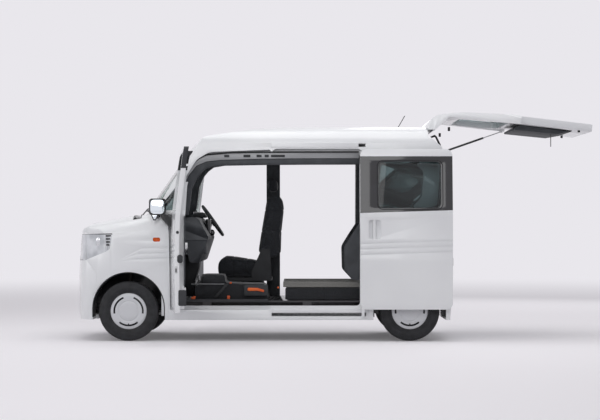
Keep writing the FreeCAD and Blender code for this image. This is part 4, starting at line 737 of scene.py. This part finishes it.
# Wheels ------------------------------------------------------------------------------------
AXLES = (("front", 490), ("rear", 3010))
AXLE_Z = 268.5
WHEEL_Y = 655
RIM = ((-52, 176), (-52, 166), (-40, 160), (-20, 142), (30, 142), (44, 160), (50, 166), (50, 175),
       (54, 175), (54, 163), (46, 152), (34, 134), (-24, 134), (-46, 152), (-56, 163), (-56, 176))
COVER_MIDDLE = ((66, 0), (66, 56), (65, 78), (63, 86), (60.5, 88), (60.5, 92), (62.5, 95), (63.5, 108),
                (63, 120), (60, 120), (60.5, 108), (59.5, 97), (57.5, 92), (57.5, 86), (60, 82), (62, 74),
                (63, 56), (63, 0))
COVER_RIM = ((62, 136), (60.5, 149), (56, 159), (49, 164), (46, 164), (52.5, 157.5), (57, 148), (59, 136))
COVER_BRIDGE = ((63, 119), (62, 137), (59, 137), (60, 119))
STEEL_DISC = ((38, 30), (30, 60), (34, 100), (22, 143), (18, 143), (30, 99), (26, 60), (34, 30))


def on_left(profile):
    return [(-WHEEL_Y - out, radius) for out, radius in profile]


def wheel_cover(centre, name, body):
    """Pressed cover: a middle disc, a rim and three bridges, so that three arcs stay open."""
    s, y, z = centre
    notch = slab_piece("notch_cutter", "side", ((s - 9, z - 122, 0), (s, z - 106, 2), (s + 9, z - 122, 0)),
                       -WHEEL_Y - 80, -WHEEL_Y - 40, 0, silver_enamel, body)
    parts = [cut_away(spun_piece("cover_middle", on_left(COVER_MIDDLE), centre, silver_enamel, body), notch),
             spun_piece("cover_rim", on_left(COVER_RIM), centre, silver_enamel, body)]
    for middle in (90, 210, 330):
        parts.append(spun_piece("cover_bridge", on_left(COVER_BRIDGE), centre, silver_enamel, body, 12, 41,
                                start=middle - 20.5))
    return smooth(joined(name, *parts), 30)


def tyre_ring(tree, centre, radius, proud, wide, name, body):
    """A raised line moulded on the tyre's side wall."""
    s, y, z = centre
    skin = y_on(tree, s, z + radius)
    rows = ((skin + 2, radius - wide), (skin - proud * 0.5, radius - wide), (skin - proud, radius),
            (skin - proud * 0.5, radius + wide), (skin + 2, radius + wide))
    return spun_piece(name, rows, centre, tyre_rubber, body)


for place, station in AXLES:
    centre = (station, 0, AXLE_Z)
    left_body = frame["nodes"][f"wheel_{place}_left"]["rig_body"]
    right_body = frame["nodes"][f"wheel_{place}_right"]["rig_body"]
    rim = spun_piece(f"{place}_rim_left", on_left(RIM), centre, black_coat, left_body)
    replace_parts(rim, f"wheel_{place}_left")
    mirrored(rim, f"{place}_rim_right", right_body, f"wheel_{place}_right")
    made = [wheel_cover(centre, f"{place}_wheel_cover_left", left_body),
            spun_piece(f"{place}_wheel_disc_left", on_left(STEEL_DISC), centre, black_coat, left_body)]
    tree = surface_of(f"tyre_{place}_left")
    for number, (radius, proud, wide) in enumerate(((184, 1.6, 2.2), (196, 0.9, 1.2), (232, 1.4, 1.8),
                                                    (246, 0.9, 1.2))):
        made.append(tyre_ring(tree, centre, radius, proud, wide, f"{place}_tyre_line_{number}_left", left_body))
    for piece in made:
        mirrored(piece, piece.name.replace("_left", "_right"), right_body)


def arch_liner(station, y_low, y_high, name):
    """Moulded liner under a wheel arch: a half ring with straight legs."""
    outer, inner, middle, foot = 325, 318, 292, 215
    run = [(station + outer, foot)]
    run += [(station + outer * math.cos(a * math.pi / 24), middle + outer * math.sin(a * math.pi / 24)) for a in range(25)]
    run += [(station - outer, foot), (station - inner, foot)]
    run += [(station - inner * math.cos(a * math.pi / 24), middle + inner * math.sin(a * math.pi / 24)) for a in range(25)]
    run += [(station + inner, foot)]
    return slab_piece(name, "side", [(u, v, 0) for u, v in run], y_low, y_high, 1.0, dark_trim, BODY)


for place, station in AXLES:
    liner = arch_liner(station, -722, -500, f"{place}_arch_liner_left")
    mirrored(liner, f"{place}_arch_liner_right", BODY)


# Doorways: a black seal, a rail of white enamel greyed as painted shade, and the headliner's edge ---
SEAL_LINE = ((942, 1290), (950, 1400), (973, 1479), (1042, 1580), (1119, 1637), (1182, 1668), (1384, 1687),
             (1700, 1692),
             (2555, 1694))
RAIL_LINE = ((958, 1290), (975, 1400), (1017, 1479), (1093, 1573), (1182, 1611), (1308, 1626), (1687, 1637),
             (2100, 1640),
             (2555, 1641))
EDGE_LINE = ((1022, 1130), (1042, 1263), (1055, 1365), (1100, 1466), (1144, 1517), (1194, 1554), (1308, 1573),
             (1687, 1580), (2100, 1583), (2555, 1584))
INNER_WALL = 641


def between(upper, lower):
    return [(u, v, 0) for u, v in upper] + [(u, v, 0) for u, v in reversed(lower)]


def doorway_trim():
    # The cant rail is white enamel like the body; its grey finish is painted shade.
    rail = slab_piece("cant_rail_left", "side", between(SEAL_LINE, RAIL_LINE), -INNER_WALL - 8, -INNER_WALL + 20, 2,
                      shaded_rail_enamel, BODY)
    mirrored(rail, "cant_rail_right", BODY)
    outer = ((965, 1130),) + RAIL_LINE
    slab_piece("headliner_edge_left", "side", between(outer, EDGE_LINE), -INNER_WALL - 4, -INNER_WALL + 46, 8,
               charcoal_trim, BODY)
    higher = [(u, v + 40) for u, v in EDGE_LINE]
    slab_piece("headliner_edge_right", "side", between([(u, v + 30) for u, v in outer], higher),
               INNER_WALL - 46, INNER_WALL + 4, 8, charcoal_trim, BODY)
    for side, word in ((LEFT, "left"), (RIGHT, "right")):
        tree = surface_of(f"body_side_{word}")
        points = [at(u, side * (INNER_WALL + 12), v + 4) for u, v in SEAL_LINE]
        tube_piece(f"doorway_seal_{word}", points, 7, seal_rubber, BODY)
        cover = [(1765, 1734, 8), (1765, 1782, 8), (2553, 1782, 8), (2553, 1734, 8)]
        low = y_on(tree, 1600, 1750, side)
        slab_piece(f"rail_cover_{word}", "side", cover, low + side * 6, low - side * 16, 3, white_enamel, BODY)
        for number, (a, b) in enumerate(((1344, 1390), (1517, 1580), (1635, 1681), (1708, 1745), (1765, 1890))):
            box_piece(f"rail_clip_{word}_{number}", (a, side * (INNER_WALL + 12), 1650),
                      (b, side * (INNER_WALL + 2), 1672), 4,
                      dark_trim, BODY)


# Painted shade: the rail's white enamel drawn grey, darker because the rail lies in shade, not a primer colour.
shaded_rail_enamel = enamel("white_enamel_in_painted_shade", "#8d8f91", "#a3a5a7", 0.4)
doorway_trim()
for side, word in ((LEFT, "left"), (RIGHT, "right")):
    slab_piece(f"sill_tread_{word}", "side",
               ((940, 352, 4), (940, 374, 4), (1740, 374, 4), (1740, 352, 4)), side * 722, side * 646, 3, dark_trim,
               BODY)

# Front door: trims on its inner face, modelled shut and then turned open about its pin
HINGE = (892, 711.5)
DOOR_TURN = 84


def opened(obj, side):
    pin = at(HINGE[0], side * HINGE[1], 0)
    turn = Matrix.Translation(pin) @ Matrix.Rotation(math.radians(side * DOOR_TURN), 4, "Z") @ Matrix.Translation(-pin)
    obj.data.transform(turn)
    return obj


def door_details(side, word):
    body = frame["nodes"][f"front_door_{word}"]["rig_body"]
    face = side * (HALF - 84)

    def panel(name, corners, near, far, radius, material):
        piece = slab_piece(f"{name}_{word}", "side", corners, face - side * near, face - side * far, radius,
                           material, body)
        return opened(piece, side)

    panel("door_inner_trim", ((930, 520, 30), (925, 1120, 20), (1735, 1120, 20), (1745, 520, 40)), -1, 9, 4,
          charcoal_trim)
    panel("door_speaker_ring", ((975, 560, 60), (975, 690, 60), (1105, 690, 60), (1105, 560, 60)), 8, 16, 4, dark_trim)
    panel("door_inner_handle", ((1040, 965, 12), (1040, 1000, 12), (1160, 1005, 12), (1160, 970, 12)), 8, 22, 6,
          grey_trim)
    panel("window_switch", ((1130, 893, 6), (1130, 905, 6), (1225, 907, 6), (1225, 895, 6)), 12, 30, 3, gloss_black)
    edge = HINGE[0] + 871

    def on_edge(name, near, far, low, high, radius, proud, material):
        """near and far are millimetres inside the outer skin, on the door's rear edge."""
        points = [(side * (HALF - near), low, radius), (side * (HALF - near), high, radius),
                  (side * (HALF - far), high, radius), (side * (HALF - far), low, radius)]
        piece = slab_piece(f"{name}_{word}", "section", points, edge - 2, edge + proud, 0.8, material, body)
        return opened(piece, side)

    on_edge("edge_plug", 14, 40, 965, 991, 13, 1.5, dark_trim)
    on_edge("latch_cover", 24, 72, 716, 788, 22, 2.5, dark_trim)
    on_edge("door_latch", 4, 26, 630, 690, 5, 3, zinc)
    on_edge("latch_claw", 9, 20, 640, 672, 4, 5, black_coat)
    on_edge("pocket_end", 34, 102, 352, 488, 14, 2, dark_trim)
    # mirror glass, and the small second mirror under it: the glass looks rearward on a shut door
    glass = slab_piece(f"mirror_glass_{word}", "side", ((694, 1139, 34), (694, 1264, 34), (818, 1264, 34),
                                                        (818, 1139, 34)),
                       side * 838, side * 830, 1, mirror_glass, body)
    rim = slab_piece(f"mirror_rim_{word}", "side", ((688, 1132, 38), (688, 1270, 38), (824, 1270, 38), (824, 1132, 38)),
                     side * 834.5, side * 822, 2, dark_trim, body)
    foot = slab_piece(f"kerb_mirror_case_{word}", "side", ((696, 1136, 6), (770, 1136, 6), (742, 1080, 12),
                                                           (720, 1080, 12)),
                      side * 833, side * 806, 3, gloss_black, body)
    view = slab_piece(f"kerb_mirror_glass_{word}", "side", ((710, 1127, 4), (756, 1127, 4), (738, 1092, 8),
                                                            (726, 1092, 8)),
                      side * 835, side * 831, 0.8, mirror_glass, body)
    return glass, rim, foot, view


for side, word in ((LEFT, "left"), (RIGHT, "right")):
    door_details(side, word)

# Cabin --------------------------------------------------------------------------------------
slab_piece("column_shroud", "side", ((990, 950, 20), (1010, 1070, 30), (1105, 1092, 20), (1160, 1046, 20),
                                     (1138, 985, 25),
                                     (1060, 945, 30)), 300, 400, 12, dark_trim, BODY)
slab_piece("meter_hood", "side", ((1000, 1100, 10), (1010, 1150, 25), (1120, 1158, 30), (1150, 1110, 12)), 220, 480, 14,
           dark_trim, BODY)
slab_piece("heater_case", "side", ((802, 380, 20), (802, 760, 20), (1100, 760, 30), (1090, 640, 60), (1052, 520, 40),
                                   (1052, 380, 20)), -170, 130, 16, dark_trim, BODY)
slab_piece("centre_screen", "section", ((-95, 960, 12), (-95, 1095, 12), (125, 1095, 12), (125, 960, 12)), 1150,
           1196, 3,
           gloss_black, BODY)
slab_piece("glove_box_lid", "section", ((-600, 780, 20), (-600, 900, 20), (-190, 900, 20), (-190, 780, 20)), 1150,
           1178, 5,
           charcoal_trim, BODY)
rod_piece("shift_lever", (1128, 60, 900), (1196, 60, 960), 9, black_coat, BODY)
ball_piece("shift_knob", (1204, 60, 968), (24, 22, 30), gloss_black, BODY)
rod_piece("parking_pedal_arm", (1010, 560, 700), (1062, 560, 470), 11, zinc, BODY)
box_piece("parking_pedal", (1040, 515, 440), (1074, 605, 500), 8, alloy, BODY)
for number, y in enumerate((250, 380)):
    rod_piece(f"foot_pedal_arm_{number}", (960, y, 760), (1020, y, 480), 9, black_coat, BODY)
    box_piece(f"foot_pedal_{number}", (1008, y - 35, 440), (1030, y + 35, 500), 6, seal_rubber, BODY)

# Soft pieces: the CAD solid's own shape, slackened, then filled by cloth simulation
def cushion(node, name, material, voxel, shrink, cap, pressure, seams=()):
    """seams are (axis, place in mm, depth, width): sewn lines pressed into the cover."""
    source = frame["nodes"][node]
    obj = copy_of(source, name)
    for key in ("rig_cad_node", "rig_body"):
        if key in obj:
            del obj[key]
    obj.parent = None
    obj.hide_render = False
    obj.hide_viewport = False
    take(obj)
    bpy.ops.object.mode_set(mode="EDIT")
    bpy.ops.mesh.select_all(action="SELECT")
    bpy.ops.mesh.remove_doubles(threshold=0.00002)
    bpy.ops.object.mode_set(mode="OBJECT")
    obj.data.remesh_voxel_size = voxel * MM
    bpy.ops.object.voxel_remesh()
    bpy.ops.object.mode_set(mode="EDIT")
    bpy.ops.mesh.select_all(action="SELECT")
    bpy.ops.transform.shrink_fatten(value=-shrink * MM)
    bpy.ops.object.mode_set(mode="OBJECT")
    start = [vertex.co.copy() for vertex in obj.data.vertices]
    cloth = obj.modifiers.new("fill", "CLOTH")
    cloth.settings.quality = 4
    cloth.settings.use_pressure = True
    cloth.settings.uniform_pressure_force = pressure
    cloth.settings.effector_weights.gravity = 0
    for step in range(1, 21):
        bpy.context.scene.frame_set(step)
    bake_modifiers(obj)
    bpy.context.scene.frame_set(1)
    for vertex, place in zip(obj.data.vertices, start):
        moved = vertex.co - place
        if moved.length > cap * MM:
            vertex.co = place + moved.normalized() * cap * MM
    finer = obj.modifiers.new("finer", "SUBSURF")
    finer.levels = 1
    bake_modifiers(obj)
    places = [vertex.co.copy() for vertex in obj.data.vertices]
    normals = [vertex.normal.copy() for vertex in obj.data.vertices]
    for axis, where, depth, wide in seams:
        column = "xyz".index(axis)
        line = at(where, where, where)[column]
        for number, normal in enumerate(normals):
            off = (places[number][column] - line) / (wide * MM)
            if abs(off) < 3:
                places[number] = places[number] - normal * depth * MM * math.exp(-off * off)
    obj.data.vertices.foreach_set("co", [value for place in places for value in place])
    obj.data.update()
    obj.data.materials.clear()
    obj.data.materials.append(material)
    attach(obj, source["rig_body"])
    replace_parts(obj, node)
    return smooth(obj, 60)


cushion("driver_seat_cushion", "driver_cushion_pad", seat_cloth, 8, 9, 14, 4.0,
        (("y", 190, 7, 7), ("y", 520, 7, 7), ("y", 138, 3, 4), ("y", 572, 3, 4), ("x", 1400, 4, 6), ("x", 1530, 4, 6)))
cushion("driver_seat_back", "driver_back_pad", seat_cloth, 8, 9, 14, 4.0,
        (("y", 190, 7, 7), ("y", 520, 7, 7), ("y", 138, 3, 4), ("y", 572, 3, 4), ("z", 980, 4, 6), ("z", 1180, 4, 6)))
cushion("driver_headrest", "driver_headrest_pad", seat_cloth, 6, 7, 11, 4.0, (("y", 246, 3, 4), ("y", 464, 3, 4)))
cushion("passenger_seat_folded", "passenger_seat_pad", seat_side, 10, 9, 12, 4.0,
        (("z", 516, 5, 6), ("x", 1500, 3, 6), ("y", -560, 3, 5), ("y", -195, 3, 5)))
cushion("rear_seats_folded", "rear_seat_pads", seat_side, 14, 8, 11, 3.0, (("y", 0, 8, 9), ("x", 2240, 5, 9)))

# Folded passenger seat's box: webbing, tabs and the long handle, on its left face
BOX_FACE = -625


def on_box(name, corners, proud, radius, material, face=BOX_FACE):
    return slab_piece(name, "side", corners, face - proud, face + 6, radius, material, BODY)


on_box("fold_handle_frame", ((1522, 402, 14), (1522, 500, 14), (1738, 500, 14), (1738, 402, 14)), 4, 2, dark_trim)
on_box("fold_handle", ((1552, 446, 12), (1556, 476, 12), (1640, 474, 20), (1704, 456, 10), (1704, 434, 10),
                       (1640, 448, 20)), 14, 4,
       orange_plastic)
on_box("fold_strap", ((1250, 388, 3), (1352, 509, 3), (1382, 509, 3), (1280, 388, 3)), 3, 1, belt_web)
on_box("fold_tab_front", ((1042, 366, 6), (1050, 392, 6), (1090, 402, 6), (1082, 372, 6)), 6, 2, orange_plastic)
on_box("fold_tab_middle", ((1369, 370, 6), (1369, 404, 6), (1396, 404, 6), (1396, 370, 6)), 6, 2, orange_plastic)
on_box("seat_lip", ((1045, 504, 4), (1045, 513, 4), (1345, 513, 4), (1345, 504, 4)), 5, 2, grey_trim)
box_piece("release_tab_front", (1392, BOX_FACE - 5, 512), (1412, BOX_FACE + 20, 526), 3, orange_plastic, BODY)
box_piece("release_tab_rear", (1822, -622, 470), (1838, -600, 484), 3, orange_plastic, BODY)

# Tailgate: inner trim, strap, latch and buffers, which ride on it; seal round the opening
GATE = frame["nodes"]["tailgate"]["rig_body"]
slab_piece("gate_inner_trim", "side", ((3953, 1910, 10), (4028, 1952, 20), (4520, 1912, 14), (4502, 1896, 14),
                                       (4372, 1868, 30)),
           -430, 430, 10, charcoal_trim, GATE)
slab_piece("gate_pull_strap", "section", ((-215, 1762, 3), (-215, 1880, 3), (-187, 1880, 3), (-187, 1762, 3)), 4338,
           4342, 1,
           belt_web, GATE)
box_piece("gate_latch", (4618, -34, 1912), (4656, 34, 1950), 5, zinc, GATE)
for number, (s, z) in enumerate(((3372, 1905), (4546, 1893))):
    for side, word in ((LEFT, "left"), (RIGHT, "right")):
        rod_piece(f"gate_buffer_{number}_{word}", (s, side * 566, z - 16), (s, side * 566, z + 20), 11, seal_rubber,
                  GATE, edge=3)
rear_seal = [(3326, 590, 545), (3330, 596, 800), (3336, 596, 1100), (3332, 588, 1400), (3316, 574, 1640),
             (3290, 556, 1765),
             (3258, 520, 1838), (3250, 440, 1852), (3250, 0, 1858)]
path = [at(s, -y, z) for s, y, z in rear_seal] + [at(s, y, z) for s, y, z in reversed(rear_seal[:-1])]
tube_piece("rear_opening_seal", path, 9, seal_rubber, BODY)
for side, word in ((LEFT, "left"), (RIGHT, "right")):
    body = frame["nodes"][f"sliding_door_{word}"]["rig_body"]
    box_piece(f"slider_latch_{word}", (3380, side * 812, 676), (3392, side * 772, 748), 4, dark_trim, body)
    tree = surface_of(f"sliding_door_{word}")
    frame_line = [at(u, y_on(tree, u, v, side) * 1.0, v) for u, v in
                  [(p.x, p.y) for p in arc_points(((2716, 1180, 52), (2716, 1618, 52), (3300, 1618, 52),
                                                   (3300, 1180, 52)), 8)]
                  if y_on(tree, u, v, side) is not None]
    tube_piece(f"slider_window_seal_{word}", frame_line, 3.5, seal_rubber, body, closed=True)

# Headlamps: reflector under a clear cover, black rear end with ribs, projector
def lamp_details(side, word):
    tree = surface_of("headlamps")
    for number in range(4):
        z = 944 - number * 27
        y = y_on(tree, 312, z, side)
        if y is None:
            continue
        box_piece(f"lamp_rib_{number}_{word}", (286 + number * 2, y - 4, z - 9), (336 - number * 5, y + 4, z + 7),
                  3, gloss_black,
                  BODY)
    y = y_on(tree, 226, 893, side)
    if y is not None:
        ball_piece(f"lamp_projector_{word}", (226, y + side * -16, 893), (33, 19, 50), reflector, BODY)


lamp_details(LEFT, "left")
lamp_details(RIGHT, "right")

# Both boxes, the CAD's and the finished scene's
seen_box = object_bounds()


def plain(value):
    if isinstance(value, (list, tuple, Vector)):
        return [plain(v) for v in value]
    return float(value)


{"cad": plain(cad_box), "visual": plain(seen_box)}
